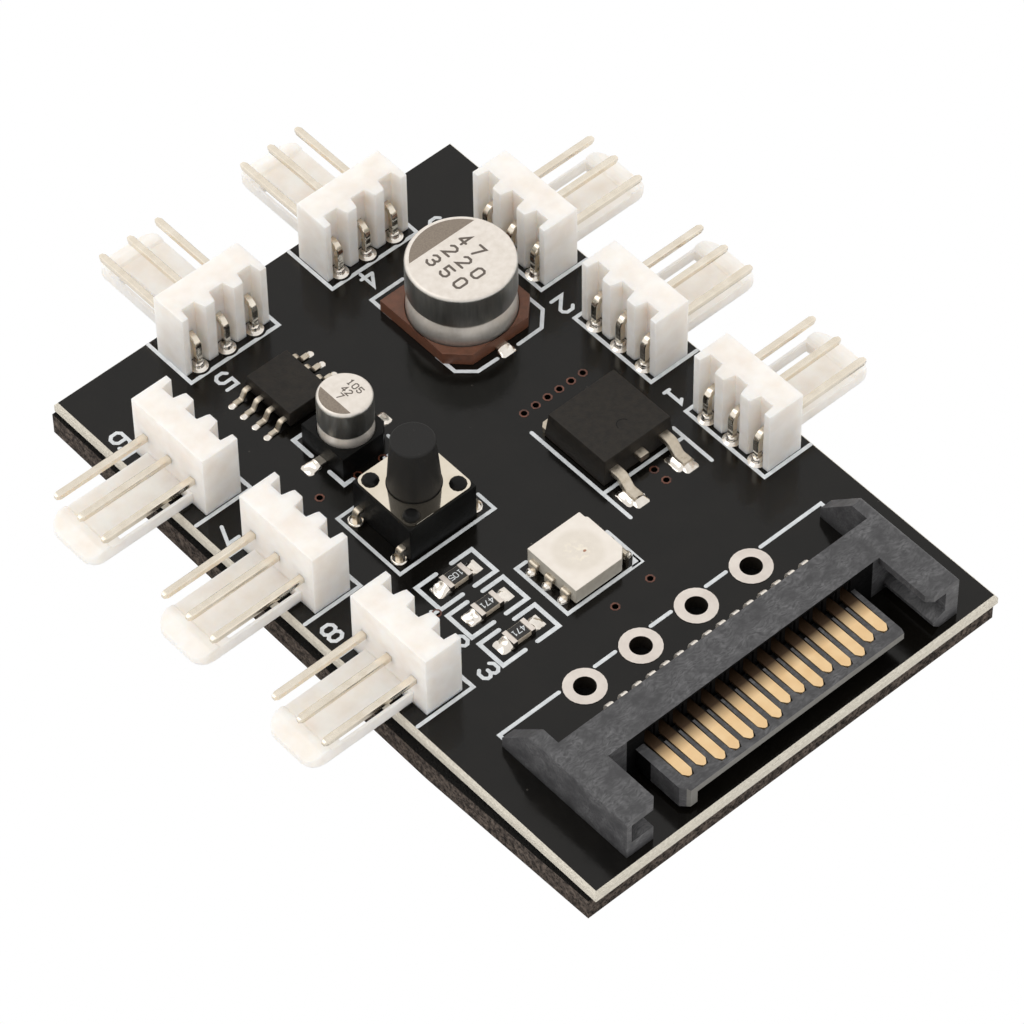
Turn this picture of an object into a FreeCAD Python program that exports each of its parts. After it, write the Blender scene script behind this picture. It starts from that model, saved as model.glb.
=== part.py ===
import FreeCAD, Part
import math
import os

# A small hub board that feeds eight cooling fans from one flat power inlet.
# It is drawn with the board's front left corner at 0, 0 and its top face at z = 0.
# export() then moves every piece so that the origin is the middle of the foam pad's underside.

V = FreeCAD.Vector

# Circuit board and the foam pad under it
BOARD_WIDTH = 36.34
BOARD_LENGTH = 55.80
BOARD_THICKNESS = 1.20
BOARD_EDGE_FLARE = 0.22
BOARD_EDGE_SLOPE = 0.30
PAD_THICKNESS = 1.95
PAD_SIDE_OVERHANG = 0.40
PAD_FRONT_INSET = 0.32
PAD_REAR_OVERHANG = 0.30
PAD_BULGE = 0.42
PAD_BULGE_Y = 16.0

# Row of holes where supply wires can be soldered
WIRE_HOLE_DIAMETER = 1.62
WIRE_HOLE_PITCH = 5.08
WIRE_HOLE_COUNT = 4
WIRE_HOLE_FIRST_X = 10.607
WIRE_HOLE_Y = 12.806
WIRE_RING_DIAMETER = 3.07
PLATING_THICKNESS = 0.06
RING_HEIGHT = 0.05

# Small plated holes that join the copper layers
VIA_BORE = 0.48
VIA_RING_DIAMETER = 0.74
VIA_RING_HEIGHT = 0.02
VIA_ROW_X = 23.41
VIA_ROW_Y = 33.26
VIA_ROW_PITCH = 1.10
VIA_ROW_COUNT = 6
SINGLE_VIAS = ((26.70, 23.47), (26.70, 22.24), (7.98, 37.06), (13.50, 36.80), (11.25, 36.80),
               (20.05, 16.63), (16.66, 16.44), (7.34, 24.11))

# Three pin fan headers lying on their backs, pins pointing out over the board's edge
PIN_PITCH = 2.54
PIN_SIZE = 0.52
PIN_COUNT = 3
PIN_AXIS_Z = 2.75
PIN_REACH = 7.20
REAR_EXTRA_REACH = 0.45
LEFT_EXTRA_REACH = 0.72
PIN_BEND_RADIUS = 0.65
PIN_TIP_LENGTH = 0.30
PIN_TIP_SIZE = 0.30
PIN_FIT = 0.01
HEADER_WIDTH = 7.60
HEADER_HEIGHT = 5.80
HEADER_DEPTH = 3.15
HEADER_FIN_LENGTH = 0.95
FIN_ROOT_WIDTH = 1.32
FIN_TIP_WIDTH = 1.00
FIN_NOSE_LENGTH = 0.24
FIN_NOSE_WIDTH = 0.80
END_FIN_ROOT = 0.67
END_FIN_TIP = 0.55
HEADER_PITCH = 11.505
HEADER_FIRST_Y = 21.85
RIGHT_HEADER_REAR_X = 32.33
LEFT_HEADER_REAR_X = 4.33
BACK_HEADER_REAR_Y = 51.60
BACK_HEADER_XS = (24.95, 11.96)

# Lock plate below the pins of each fan header
LOCK_WIDTH = 4.90
LOCK_REACH = 8.20
LOCK_UNDERSIDE = 0.25
LOCK_THICKNESS = 1.00
LOCK_CORNER_RADIUS = 1.10
LOCK_RIDGE_HEIGHT = 0.18
LOCK_RIDGE_WIDTH = 0.60
LOCK_RAMP = 1.05
LOCK_NOSE = 0.55
LOCK_SLOT_INNER = 1.30
LOCK_SLOT_WIDTH = 0.90
LOCK_SLOT_START = 0.20
LOCK_SLOT_LENGTH = 6.00

# Flat fifteen contact power inlet
INLET_LEFT = 3.20
INLET_RIGHT = 33.35
INLET_FRONT = 0.55
INLET_BODY_FRONT = 5.40
INLET_BODY_REAR = 8.38
INLET_HEIGHT = 3.90
INLET_TOP_WALL = 0.65
INLET_LIP_HEIGHT = 1.40
LEFT_ARM_EDGE = 5.95
LEFT_ARM_WALL = 0.42
LEFT_LIP_EDGE = 5.55
RIGHT_ARM_EDGE = 30.55
RIGHT_ARM_WALL = 1.20
RIGHT_LIP_EDGE = 31.10
ARM_EDGE_RADIUS = 0.30
ARM_NOSE_CHAMFER = 0.45
TAIL_WALL = 1.05
TAIL_WALL_REAR = 12.80
TAIL_WALL_FOOT = 0.95
TONGUE_LEFT = 8.38
TONGUE_RIGHT = 28.34
TONGUE_FRONT = 0.60
TONGUE_TOP = 2.40
TONGUE_THICKNESS = 1.10
TONGUE_LEAD_IN = 0.25
KEY_LEG_WIDTH = 1.15
KEY_LEG_DROP = 0.90
KEY_CORNER = 0.55
CONTACT_COUNT = 15
CONTACT_PITCH = 1.27
CONTACT_FIRST_X = 9.66
CONTACT_WIDTH = 0.82
CONTACT_THICKNESS = 0.20
CONTACT_PROUD = 0.03
CONTACT_LONG_TIP = 0.92
CONTACT_SHORT_TIP = 1.40
SHORT_CONTACTS = (1, 2, 8, 9, 11, 14, 15)
CONTACT_POCKET_GAP = 0.07
POCKET_FRONT_GAP = 0.03
POCKET_REAR_GAP = 0.15
CONTACT_NOSE_WIDTH = 0.46
CONTACT_NOSE_TAPER = 0.42
CONTACT_SLOT_DEPTH = 1.00
CONTACT_SLOT_ROOF = 0.22
RIDGE_END = 4.60
RIDGE_END_DROP = 0.50
CONTACT_FIT = 0.01
CONTACT_TAIL_WIDTH = 0.55
CONTACT_TAIL_Y = 9.55
CONTACT_TAIL_RADIUS = 0.45
CONTACT_HOLE = 0.90

# Large and small surface mounted capacitors
LARGE_CAN = dict(x=26.30, y=43.05, diameter=8.00, height=5.95, base=8.20, floor=0.55, rim=1.10,
                 chamfer=1.50, groove=2.70, groove_width=1.20, groove_depth=0.42, edge=0.35,
                 lead=0.90, lead_reach=0.45, turn=-90)
SMALL_CAN = dict(x=12.52, y=39.45, diameter=4.03, height=5.40, base=4.40, floor=0.60, rim=1.95,
                 chamfer=0.75, groove=2.65, groove_width=0.75, groove_depth=0.24, edge=0.22,
                 lead=0.75, lead_reach=0.75, turn=0)
CAN_SEAT_GAP = 0.05
CAN_LEAD_THICKNESS = 0.22
CAN_LEAD_START = 0.60
CAN_GROOVE_STEPS = 6
CAN_EDGE_ROUND = 0.3
CAN_PASTE_MARGIN = 0.08

# Push button
BUTTON_X = 11.95
BUTTON_Y = 31.60
BUTTON_BASE = 6.00
BUTTON_BASE_HEIGHT = 3.30
BUTTON_COVER = 5.80
BUTTON_COVER_THICKNESS = 0.15
BUTTON_COVER_RADIUS = 0.60
BUTTON_TRAVEL = 0.25
PLUNGER_TOP = 8.00
PLUNGER_TOP_DIAMETER = 3.20
PLUNGER_DIAMETER = 3.80
PLUNGER_FLANGE_DIAMETER = 4.10
PLUNGER_FLANGE_BOTTOM = 2.20
PLUNGER_FLANGE_GAP = 0.02
PLUNGER_FIT = 0.07
PLUNGER_EDGE = 0.12
PLUNGER_EDGE_ROUND = 0.04
WELL_FLOOR = 1.20
DOME_DIAMETER = 3.90
DOME_THICKNESS = 0.10
DOME_RISE = 0.60
PEG_OFFSET = 2.12
PEG_DIAMETER = 1.24
PEG_HEIGHT = 0.32
PEG_FIT = 0.03
PEG_CROWN = 0.20
BUTTON_LEG_X = 3.42
BUTTON_LEG_Y = 2.25
BUTTON_LEG_WIDTH = 0.55
BUTTON_LEG_THICKNESS = 0.30
BUTTON_LEG_TOP = 0.95
BUTTON_LEG_BEND = 0.22
BUTTON_HOLE = 1.10

# Power transistor
POWER_X = 26.40
POWER_Y = 27.75
POWER_FOOT_SIZE = (6.60, 6.20)
POWER_TOP_SIZE = (6.10, 5.80)
POWER_HEIGHT = 2.30
POWER_STANDOFF = 0.05
TAB_WIDTH = 5.40
TAB_THICKNESS = 0.50
TAB_REACH = 1.15
TAB_UNDER_BODY = 4.20
TAB_CORNER = 0.46
POWER_LEAD_PITCH = 4.60
POWER_LEAD_WIDTH = 0.80
POWER_LEAD_THICKNESS = 0.50
POWER_LEAD_Z = 1.05
POWER_LEAD_REACH = 2.55
POWER_STUB_REACH = 0.65
POWER_LEAD_KNEE = 0.82
POWER_LEAD_HEEL = 1.58
POWER_LEAD_BEND = 0.38
POWER_PASTE_MARGIN = 0.12
POWER_PASTE_LENGTH = 0.57

# Control chip with eight legs
CHIP_X = 12.33
CHIP_Y = 45.47
CHIP_WIDTH = 3.90
CHIP_LENGTH = 4.90
CHIP_DRAFT = 0.14
CHIP_BOTTOM = 0.14
CHIP_MIDDLE = 0.80
CHIP_TOP = 1.55
CHIP_LEG_PITCH = 1.27
CHIP_LEG_WIDTH = 0.42
CHIP_LEG_THICKNESS = 0.22
CHIP_LEG_REACH = 1.40
CHIP_LEGS_A_SIDE = 4
CHIP_LEG_ROOT = 0.10
CHIP_LEG_KNEE = 0.42
CHIP_LEG_HEEL = 0.70
CHIP_LEG_BEND = 0.18
CHIP_PASTE_MARGIN = 0.06

# Status lamp
LAMP_X = 17.25
LAMP_Y = 20.78
LAMP_SIZE = 4.95
LAMP_HEIGHT = 1.55
LAMP_STANDOFF = 0.15
LAMP_CORNER = 0.75
LAMP_STEP = 0.15
LAMP_STEP_LENGTH = 0.70
LENS_DIAMETER = 4.00
LENS_FLOOR_DIAMETER = 3.30
LENS_FLOOR = 0.65
DIE_SIZE = 0.32
DIE_HEIGHT = 0.12
DIE_RING = 0.75
LAMP_LEG_WIDTH = 0.90
LAMP_LEG_PITCH = 1.60
LAMP_LEG_THICKNESS = 0.15
LAMP_LEG_HEIGHT = 0.95
LAMP_FOOT = 0.70
LAMP_PASTE_LENGTH = 0.45

# Chip resistors
RESISTOR_X = 10.21
RESISTOR_YS = (25.42, 22.20, 19.00)
RESISTOR_LENGTH = 2.00
RESISTOR_WIDTH = 1.25
RESISTOR_HEIGHT = 0.50
RESISTOR_CAP = 0.38
RESISTOR_CAP_WALL = 0.03
RESISTOR_PASTE_MARGIN = 0.05
RESISTOR_PASTE_WAIST = 0.43
RESISTOR_PASTE_WAIST_HEIGHT = 0.14

# Solder
JOINT_FOOT_RADIUS = 0.60
JOINT_NECK_RADIUS = 0.42
JOINT_HEIGHT = 0.55
HEADER_HOLE = 1.00
INLET_JOINT_HEIGHT = 0.10
BUTTON_JOINT_RADIUS = 0.88
BUTTON_JOINT_HEIGHT = 0.22
PASTE_LENGTH = 0.95
PASTE_HEIGHT = 0.34
SMALL_PASTE_LENGTH = 0.32
SMALL_PASTE_HEIGHT = 0.16

# Small round features are drawn with a few flat sides, which keeps the model light
SMALL_SIDES = 8
PEG_SIDES = 12
RING_SIDES = 24
LOCK_CORNER_STEPS = 4


def box(x0, x1, y0, y1, z0, z1):
    return Part.makeBox(x1 - x0, y1 - y0, z1 - z0, V(x0, y0, z0))


def post(diameter, z0, z1, x, y):
    return Part.makeCylinder(diameter / 2, z1 - z0, V(x, y, z0))


def ring_points(sides, radius, x, y):
    points = []
    for i in range(sides):
        angle = 2 * math.pi * (i + 0.5) / sides
        points.append((x + radius * math.cos(angle), y + radius * math.sin(angle)))
    return points


def sided_post(sides, diameter, z0, z1, x, y):
    return plan_prism(ring_points(sides, diameter / 2, x, y), z0, z1)


def sided_cone(sides, low, high, z0, z1, x, y):
    # low and high are the diameters at z0 and z1
    wires = []
    for diameter, z in ((low, z0), (high, z1)):
        points = [V(px, py, z) for px, py in ring_points(sides, diameter / 2, x, y)]
        wires.append(Part.makePolygon(points + points[:1]))
    return Part.makeLoft(wires, True, True)


def face_of(points):
    return Part.Face(Part.makePolygon([V(*p) for p in points] + [V(*points[0])]))


def plan_prism(points, z0, z1):
    return face_of([(x, y, z0) for x, y in points]).extrude(V(0, 0, z1 - z0))


def side_prism(points, x0, x1):
    # points are y, z pairs
    return face_of([(x0, y, z) for y, z in points]).extrude(V(x1 - x0, 0, 0))


def front_prism(points, y0, y1):
    # points are x, z pairs
    return face_of([(x, y0, z) for x, z in points]).extrude(V(0, y1 - y0, 0))


def rounded_block(x0, x1, y0, y1, z0, z1, radius):
    block = box(x0, x1, y0, y1, z0, z1)
    return block.makeFillet(radius, upright_edges(block))


def upright_edges(solid):
    uprights = []
    for edge in solid.Edges:
        a = edge.Vertexes[0].Point
        b = edge.Vertexes[-1].Point
        if abs(a.x - b.x) < 1e-6 and abs(a.y - b.y) < 1e-6:
            uprights.append(edge)
    return uprights


def revolve(points):
    # points are radius, z pairs turned about the z axis
    return face_of([(r, 0, z) for r, z in points]).revolve(V(0, 0, 0), V(0, 0, 1), 360)


def tapered_block(size_low, size_high, z0, z1):
    wires = []
    for (width, length), z in ((size_low, z0), (size_high, z1)):
        w = width / 2
        d = length / 2
        ring = [V(-w, -d, z), V(w, -d, z), V(w, d, z), V(-w, d, z), V(-w, -d, z)]
        wires.append(Part.makePolygon(ring))
    return Part.makeLoft(wires, True, True)


def bent_outline(path, thickness, radius, steps=3):
    # Outline of a strip that follows path, its corners rounded on the centre line
    centre = [path[0]]
    for before, corner, after in zip(path, path[1:], path[2:]):
        centre += corner_points(before, corner, after, radius, steps)
    centre.append(path[-1])
    left = []
    right = []
    for i, (a, b) in enumerate(centre):
        p = centre[max(i - 1, 0)]
        q = centre[min(i + 1, len(centre) - 1)]
        length = math.hypot(q[0] - p[0], q[1] - p[1])
        n = (-(q[1] - p[1]) / length * thickness / 2, (q[0] - p[0]) / length * thickness / 2)
        left.append((a + n[0], b + n[1]))
        right.append((a - n[0], b - n[1]))
    return left + right[::-1]


def corner_points(before, corner, after, radius, steps):
    a = math.atan2(before[1] - corner[1], before[0] - corner[0])
    b = math.atan2(after[1] - corner[1], after[0] - corner[0])
    turn = (b - a + math.pi) % (2 * math.pi) - math.pi
    half = abs(turn) / 2
    reach = radius / math.tan(half)
    middle = a + turn / 2
    cx = corner[0] + radius / math.sin(half) * math.cos(middle)
    cy = corner[1] + radius / math.sin(half) * math.sin(middle)
    start = (corner[0] + reach * math.cos(a), corner[1] + reach * math.sin(a))
    sweep = math.copysign(math.pi - abs(turn), -turn)
    first = math.atan2(start[1] - cy, start[0] - cx)
    points = []
    for i in range(steps + 1):
        angle = first + sweep * i / steps
        points.append((cx + radius * math.cos(angle), cy + radius * math.sin(angle)))
    return points


def joined(shapes):
    return shapes[0].multiFuse(shapes[1:]).removeSplitter() if len(shapes) > 1 else shapes[0]


def placed(shape, x, y, turn=0):
    moved = shape.copy()
    moved.rotate(V(0, 0, 0), V(0, 0, 1), turn)
    moved.translate(V(x, y, 0))
    return moved


def wire_hole_spots():
    return [(WIRE_HOLE_FIRST_X + WIRE_HOLE_PITCH * i, WIRE_HOLE_Y) for i in range(WIRE_HOLE_COUNT)]


def via_spots():
    row = [(VIA_ROW_X + VIA_ROW_PITCH * i, VIA_ROW_Y) for i in range(VIA_ROW_COUNT)]
    return row + list(SINGLE_VIAS)


def header_spots():
    # x, y and turn of each header's rear face, numbered round the board from the right front
    spots = []
    for i in range(3):
        spots.append((RIGHT_HEADER_REAR_X, HEADER_FIRST_Y + HEADER_PITCH * i, 0))
    for x in BACK_HEADER_XS:
        spots.append((x, BACK_HEADER_REAR_Y, 90))
    for i in (2, 1, 0):
        spots.append((LEFT_HEADER_REAR_X, HEADER_FIRST_Y + HEADER_PITCH * i, 180))
    return spots


def pin_offsets():
    middle = (PIN_COUNT - 1) / 2
    return [PIN_PITCH * (i - middle) for i in range(PIN_COUNT)]


def pin_foot():
    # The bend starts just behind the web and comes down one bend radius further back
    return HEADER_FIN_LENGTH - PIN_BEND_RADIUS


def contact_xs():
    return [CONTACT_FIRST_X + CONTACT_PITCH * i for i in range(CONTACT_COUNT)]


def button_leg_spots():
    return [(BUTTON_X + sx * BUTTON_LEG_X, BUTTON_Y + sy * BUTTON_LEG_Y)
            for sx in (-1, 1) for sy in (-1, 1)]


# Board, pad and plating

def drilled(board, diameter, spots, sides=SMALL_SIDES):
    for x, y in spots:
        board = board.cut(sided_post(sides, diameter, -BOARD_THICKNESS - 1, 1, x, y))
    return board


def circuit_board():
    # The board was snapped out of a scored sheet, so its edges slope out to a rough middle
    face = (BOARD_WIDTH, BOARD_LENGTH)
    middle = (BOARD_WIDTH + 2 * BOARD_EDGE_FLARE, BOARD_LENGTH + 2 * BOARD_EDGE_FLARE)
    upper = -BOARD_EDGE_SLOPE
    lower = BOARD_EDGE_SLOPE - BOARD_THICKNESS
    board = joined([tapered_block(middle, face, upper, 0), tapered_block(middle, middle, lower, upper),
                    tapered_block(face, middle, -BOARD_THICKNESS, lower)])
    board = placed(board, BOARD_WIDTH / 2, BOARD_LENGTH / 2)
    board = drilled(board, WIRE_HOLE_DIAMETER + 2 * PLATING_THICKNESS, wire_hole_spots(), RING_SIDES)
    board = drilled(board, VIA_BORE, via_spots())
    board = drilled(board, CONTACT_HOLE, [(x, CONTACT_TAIL_Y) for x in contact_xs()])
    board = drilled(board, BUTTON_HOLE, button_leg_spots())
    feet = []
    for x, y, turn in header_spots():
        for s in pin_offsets():
            foot = placed(Part.Vertex(pin_foot(), s, 0), x, y, turn).Point
            feet.append((foot.x, foot.y))
    return drilled(board, HEADER_HOLE, feet)


def foam_pad():
    # Cut by hand, so its left edge swells a little
    left = -PAD_SIDE_OVERHANG
    right = BOARD_WIDTH + PAD_SIDE_OVERHANG
    front = PAD_FRONT_INSET
    rear = BOARD_LENGTH + PAD_REAR_OVERHANG
    outline = [(left, front), (right, front), (right, rear), (left, rear),
               (left - PAD_BULGE, PAD_BULGE_Y)]
    return plan_prism(outline, -BOARD_THICKNESS - PAD_THICKNESS, -BOARD_THICKNESS)


def plated_hole(x, y):
    bottom = -BOARD_THICKNESS
    barrel = WIRE_HOLE_DIAMETER + 2 * PLATING_THICKNESS
    tube = sided_post(RING_SIDES, barrel, bottom, 0, x, y)
    ring = sided_post(RING_SIDES, WIRE_RING_DIAMETER, 0, RING_HEIGHT, x, y)
    hole = post(WIRE_HOLE_DIAMETER, bottom - 1, 1, x, y)
    return joined([tube, ring]).cut(hole)


def wire_hole_rings():
    return Part.makeCompound([plated_hole(x, y) for x, y in wire_hole_spots()])


def via_ring(x, y):
    ring = sided_post(SMALL_SIDES, VIA_RING_DIAMETER, 0, VIA_RING_HEIGHT, x, y)
    return ring.cut(sided_post(SMALL_SIDES, VIA_BORE, -1, 1, x, y))


def via_rings():
    return Part.makeCompound([via_ring(x, y) for x, y in via_spots()])


# Fan headers, drawn with their rear face at x = 0 and their pins along +x

def header_fins():
    root = HEADER_FIN_LENGTH
    fins = []
    for s in (-PIN_PITCH / 2, PIN_PITCH / 2):
        r = FIN_ROOT_WIDTH / 2
        t = FIN_TIP_WIDTH / 2
        n = FIN_NOSE_WIDTH / 2
        fins.append([(root, s - r), (FIN_NOSE_LENGTH, s - t), (0, s - n),
                     (0, s + n), (FIN_NOSE_LENGTH, s + t), (root, s + r)])
    edge = HEADER_WIDTH / 2
    for side in (-1, 1):
        fins.append([(root, side * edge), (0, side * edge), (0, side * (edge - END_FIN_TIP)),
                     (root, side * (edge - END_FIN_ROOT))])
    return [plan_prism(points, 0, HEADER_HEIGHT) for points in fins]


def lock_plate(reach):
    top = LOCK_UNDERSIDE + LOCK_THICKNESS
    front = HEADER_DEPTH
    end = front + reach
    ridge = top + LOCK_RIDGE_HEIGHT
    ramp = end - LOCK_RAMP
    back = ramp - LOCK_RIDGE_WIDTH
    side = [(front, LOCK_UNDERSIDE), (end, LOCK_UNDERSIDE), (end, LOCK_UNDERSIDE + LOCK_NOSE),
            (ramp, ridge), (back, ridge), (back - LOCK_RIDGE_HEIGHT, top), (front, top)]
    plate = front_prism(side, -LOCK_WIDTH / 2, LOCK_WIDTH / 2)
    half = LOCK_WIDTH / 2
    corners = [(front, -half), (end, -half), (end, half), (front, half)]
    rounding = [corner_points(*corners[i:i + 3], LOCK_CORNER_RADIUS, LOCK_CORNER_STEPS) for i in (0, 1)]
    outline = [corners[0]] + rounding[0] + rounding[1] + [corners[3]]
    plate = plate.common(plan_prism(outline, 0, HEADER_HEIGHT))
    slot = box(front + LOCK_SLOT_START, front + LOCK_SLOT_START + LOCK_SLOT_LENGTH,
               LOCK_SLOT_INNER, LOCK_SLOT_INNER + LOCK_SLOT_WIDTH, 0, HEADER_HEIGHT)
    return plate.cut(slot)


def header_housing(extra):
    web = box(HEADER_FIN_LENGTH, HEADER_DEPTH, -HEADER_WIDTH / 2, HEADER_WIDTH / 2, 0, HEADER_HEIGHT)
    housing = joined([web] + header_fins() + [lock_plate(LOCK_REACH + extra)])
    half = PIN_SIZE / 2 + PIN_FIT
    for s in pin_offsets():
        housing = housing.cut(box(-1, HEADER_DEPTH + 1, s - half, s + half,
                                  PIN_AXIS_Z - half, PIN_AXIS_Z + half))
    return housing


def header_pin(s, extra=0):
    half = PIN_SIZE / 2
    tip = HEADER_DEPTH + PIN_REACH + extra
    foot = pin_foot()
    path = [(tip - PIN_TIP_LENGTH, PIN_AXIS_Z), (foot, PIN_AXIS_Z), (foot, -BOARD_THICKNESS)]
    outline = bent_outline(path, PIN_SIZE, PIN_BEND_RADIUS, 4)
    pin = front_prism(outline, s - half, s + half)
    ends = []
    for x, size in ((tip - PIN_TIP_LENGTH, PIN_SIZE), (tip, PIN_TIP_SIZE)):
        h = size / 2
        ring = [(x, s - h, PIN_AXIS_Z - h), (x, s + h, PIN_AXIS_Z - h),
                (x, s + h, PIN_AXIS_Z + h), (x, s - h, PIN_AXIS_Z + h)]
        ends.append(Part.makePolygon([V(*p) for p in ring + ring[:1]]))
    return joined([pin, Part.makeLoft(ends, True, True)])


def header_pins(extra):
    return Part.makeCompound([header_pin(s, extra) for s in pin_offsets()])


def header_solder():
    foot = pin_foot()
    joints = []
    for s in pin_offsets():
        cone = sided_cone(SMALL_SIDES, 2 * JOINT_FOOT_RADIUS, 2 * JOINT_NECK_RADIUS, 0, JOINT_HEIGHT,
                          foot, s)
        barrel = sided_post(SMALL_SIDES, HEADER_HOLE, -BOARD_THICKNESS, 0, foot, s)
        joints.append(joined([cone, barrel]).cut(header_pin(s)))
    return joints


# Power inlet

def inlet_arm(outline):
    return front_prism(outline, INLET_FRONT, INLET_BODY_FRONT)


def left_arm():
    inner = INLET_LEFT + LEFT_ARM_WALL
    ceiling = INLET_HEIGHT - INLET_TOP_WALL
    outline = [(INLET_LEFT, 0), (INLET_LEFT, INLET_HEIGHT), (LEFT_ARM_EDGE, INLET_HEIGHT),
               (LEFT_ARM_EDGE, ceiling), (inner, ceiling), (inner, INLET_LIP_HEIGHT),
               (LEFT_LIP_EDGE, INLET_LIP_HEIGHT), (LEFT_LIP_EDGE, 0)]
    return inlet_arm(outline)


def right_arm():
    inner = INLET_RIGHT - RIGHT_ARM_WALL
    ceiling = INLET_HEIGHT - INLET_TOP_WALL
    slope = RIGHT_LIP_EDGE - RIGHT_ARM_EDGE
    outline = [(INLET_RIGHT, 0), (INLET_RIGHT, INLET_HEIGHT), (RIGHT_ARM_EDGE, INLET_HEIGHT),
               (RIGHT_ARM_EDGE, ceiling), (inner, ceiling), (inner, INLET_LIP_HEIGHT),
               (RIGHT_LIP_EDGE, INLET_LIP_HEIGHT - slope), (RIGHT_LIP_EDGE, slope),
               (RIGHT_LIP_EDGE + slope, 0)]
    return inlet_arm(outline)


def tail_wall(x0):
    rise = INLET_HEIGHT - TAIL_WALL_FOOT
    outline = [(INLET_BODY_REAR, 0), (TAIL_WALL_REAR, 0), (TAIL_WALL_REAR, TAIL_WALL_FOOT),
               (TAIL_WALL_REAR - rise, INLET_HEIGHT), (INLET_BODY_REAR, INLET_HEIGHT)]
    return side_prism(outline, x0, x0 + TAIL_WALL)


def tongue():
    bottom = TONGUE_TOP - TONGUE_THICKNESS
    cut_back = TONGUE_FRONT + TONGUE_LEAD_IN
    outline = [(INLET_BODY_FRONT, bottom), (cut_back, bottom), (TONGUE_FRONT, bottom + TONGUE_LEAD_IN),
               (TONGUE_FRONT, TONGUE_TOP - TONGUE_LEAD_IN), (cut_back, TONGUE_TOP),
               (INLET_BODY_FRONT, TONGUE_TOP)]
    blade = side_prism(outline, TONGUE_LEFT, TONGUE_RIGHT)
    leg = box(TONGUE_LEFT, TONGUE_LEFT + KEY_LEG_WIDTH, TONGUE_FRONT, INLET_BODY_FRONT,
              bottom - KEY_LEG_DROP, bottom + TONGUE_LEAD_IN)
    x = TONGUE_LEFT - 1
    y = TONGUE_FRONT - 1
    leg_size = KEY_CORNER + 2
    corner = plan_prism([(x, y), (x + leg_size, y), (x, y + leg_size)], 0, INLET_HEIGHT)
    return joined([blade, leg]).cut(corner)


def contact_tip(number):
    return CONTACT_SHORT_TIP if number in SHORT_CONTACTS else CONTACT_LONG_TIP


def contact_plan(x, tip, grow):
    # Strip with a narrowed round nose seen from above, grown all round by the given gap
    half = CONTACT_WIDTH / 2 + grow
    radius = CONTACT_NOSE_WIDTH / 2 + grow
    middle = tip + CONTACT_NOSE_WIDTH / 2
    shoulder = tip + CONTACT_NOSE_TAPER
    points = [(x + half, INLET_BODY_REAR), (x + half, shoulder)]
    for i in range(4):
        angle = -math.pi * (i + 0.5) / 4
        points.append((x + radius * math.cos(angle), middle + radius * math.sin(angle)))
    return points + [(x - half, shoulder), (x - half, INLET_BODY_REAR)]


def pocket_plan(x, tip):
    # The pocket follows the nose closely and widens towards the inlet's body
    front = POCKET_FRONT_GAP + CONTACT_WIDTH / 2
    rear = POCKET_REAR_GAP + CONTACT_WIDTH / 2
    nose = POCKET_FRONT_GAP + CONTACT_NOSE_WIDTH / 2
    end = tip - POCKET_FRONT_GAP
    shoulder = tip + CONTACT_NOSE_TAPER
    right = [(rear, INLET_BODY_FRONT), (front, shoulder), (nose, end)]
    left = [(-dx, y) for dx, y in right[::-1]]
    return [(x + dx, y) for dx, y in right + left]


def contact_levels():
    top = TONGUE_TOP + CONTACT_PROUD
    return top - CONTACT_THICKNESS, top


def inlet_housing():
    body = box(INLET_LEFT, INLET_RIGHT, INLET_BODY_FRONT, INLET_BODY_REAR, 0, INLET_HEIGHT)
    walls = [tail_wall(INLET_LEFT), tail_wall(INLET_RIGHT - TAIL_WALL)]
    shell = joined([body, left_arm(), right_arm()] + walls)
    shell = shell.cut(arm_nose_cut(LEFT_ARM_EDGE, -1)).cut(arm_nose_cut(RIGHT_ARM_EDGE, 1))
    shell = shell.makeFillet(ARM_EDGE_RADIUS, long_top_edges(shell))
    housing = joined([shell, tongue()])
    low, high = contact_levels()
    for number, x in enumerate(contact_xs(), 1):
        tip = contact_tip(number)
        pocket = plan_prism(pocket_plan(x, tip), low, INLET_HEIGHT)
        passage = plan_prism(contact_plan(x, tip, CONTACT_FIT), low - CONTACT_FIT, high + CONTACT_FIT)
        half = CONTACT_WIDTH / 2 + CONTACT_POCKET_GAP
        slot = box(x - half, x + half, RIDGE_END, INLET_BODY_FRONT + CONTACT_SLOT_DEPTH,
                   low, INLET_HEIGHT - CONTACT_SLOT_ROOF)
        housing = housing.cut(pocket).cut(passage).cut(slot)
    half = CONTACT_WIDTH / 2 + CONTACT_POCKET_GAP
    behind_ridges = box(contact_xs()[0] - half, contact_xs()[-1] + half, RIDGE_END, INLET_BODY_FRONT,
                        TONGUE_TOP - RIDGE_END_DROP, INLET_HEIGHT)
    return housing.cut(behind_ridges)


def arm_nose_cut(edge, side):
    corner = edge + side * ARM_NOSE_CHAMFER
    points = [(edge, INLET_FRONT - 1), (edge, INLET_FRONT + ARM_NOSE_CHAMFER),
              (corner, INLET_FRONT), (corner, INLET_FRONT - 1)]
    return plan_prism(points, INLET_HEIGHT - INLET_TOP_WALL, INLET_HEIGHT + 1)


def long_top_edges(shell):
    # The outer top edge along each side of the inlet
    edges = []
    for edge in shell.Edges:
        c = edge.CenterOfMass
        outer = min(abs(c.x - INLET_LEFT), abs(c.x - INLET_RIGHT)) < 1e-6
        if outer and abs(c.z - INLET_HEIGHT) < 1e-6:
            edges.append(edge)
    return edges


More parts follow.
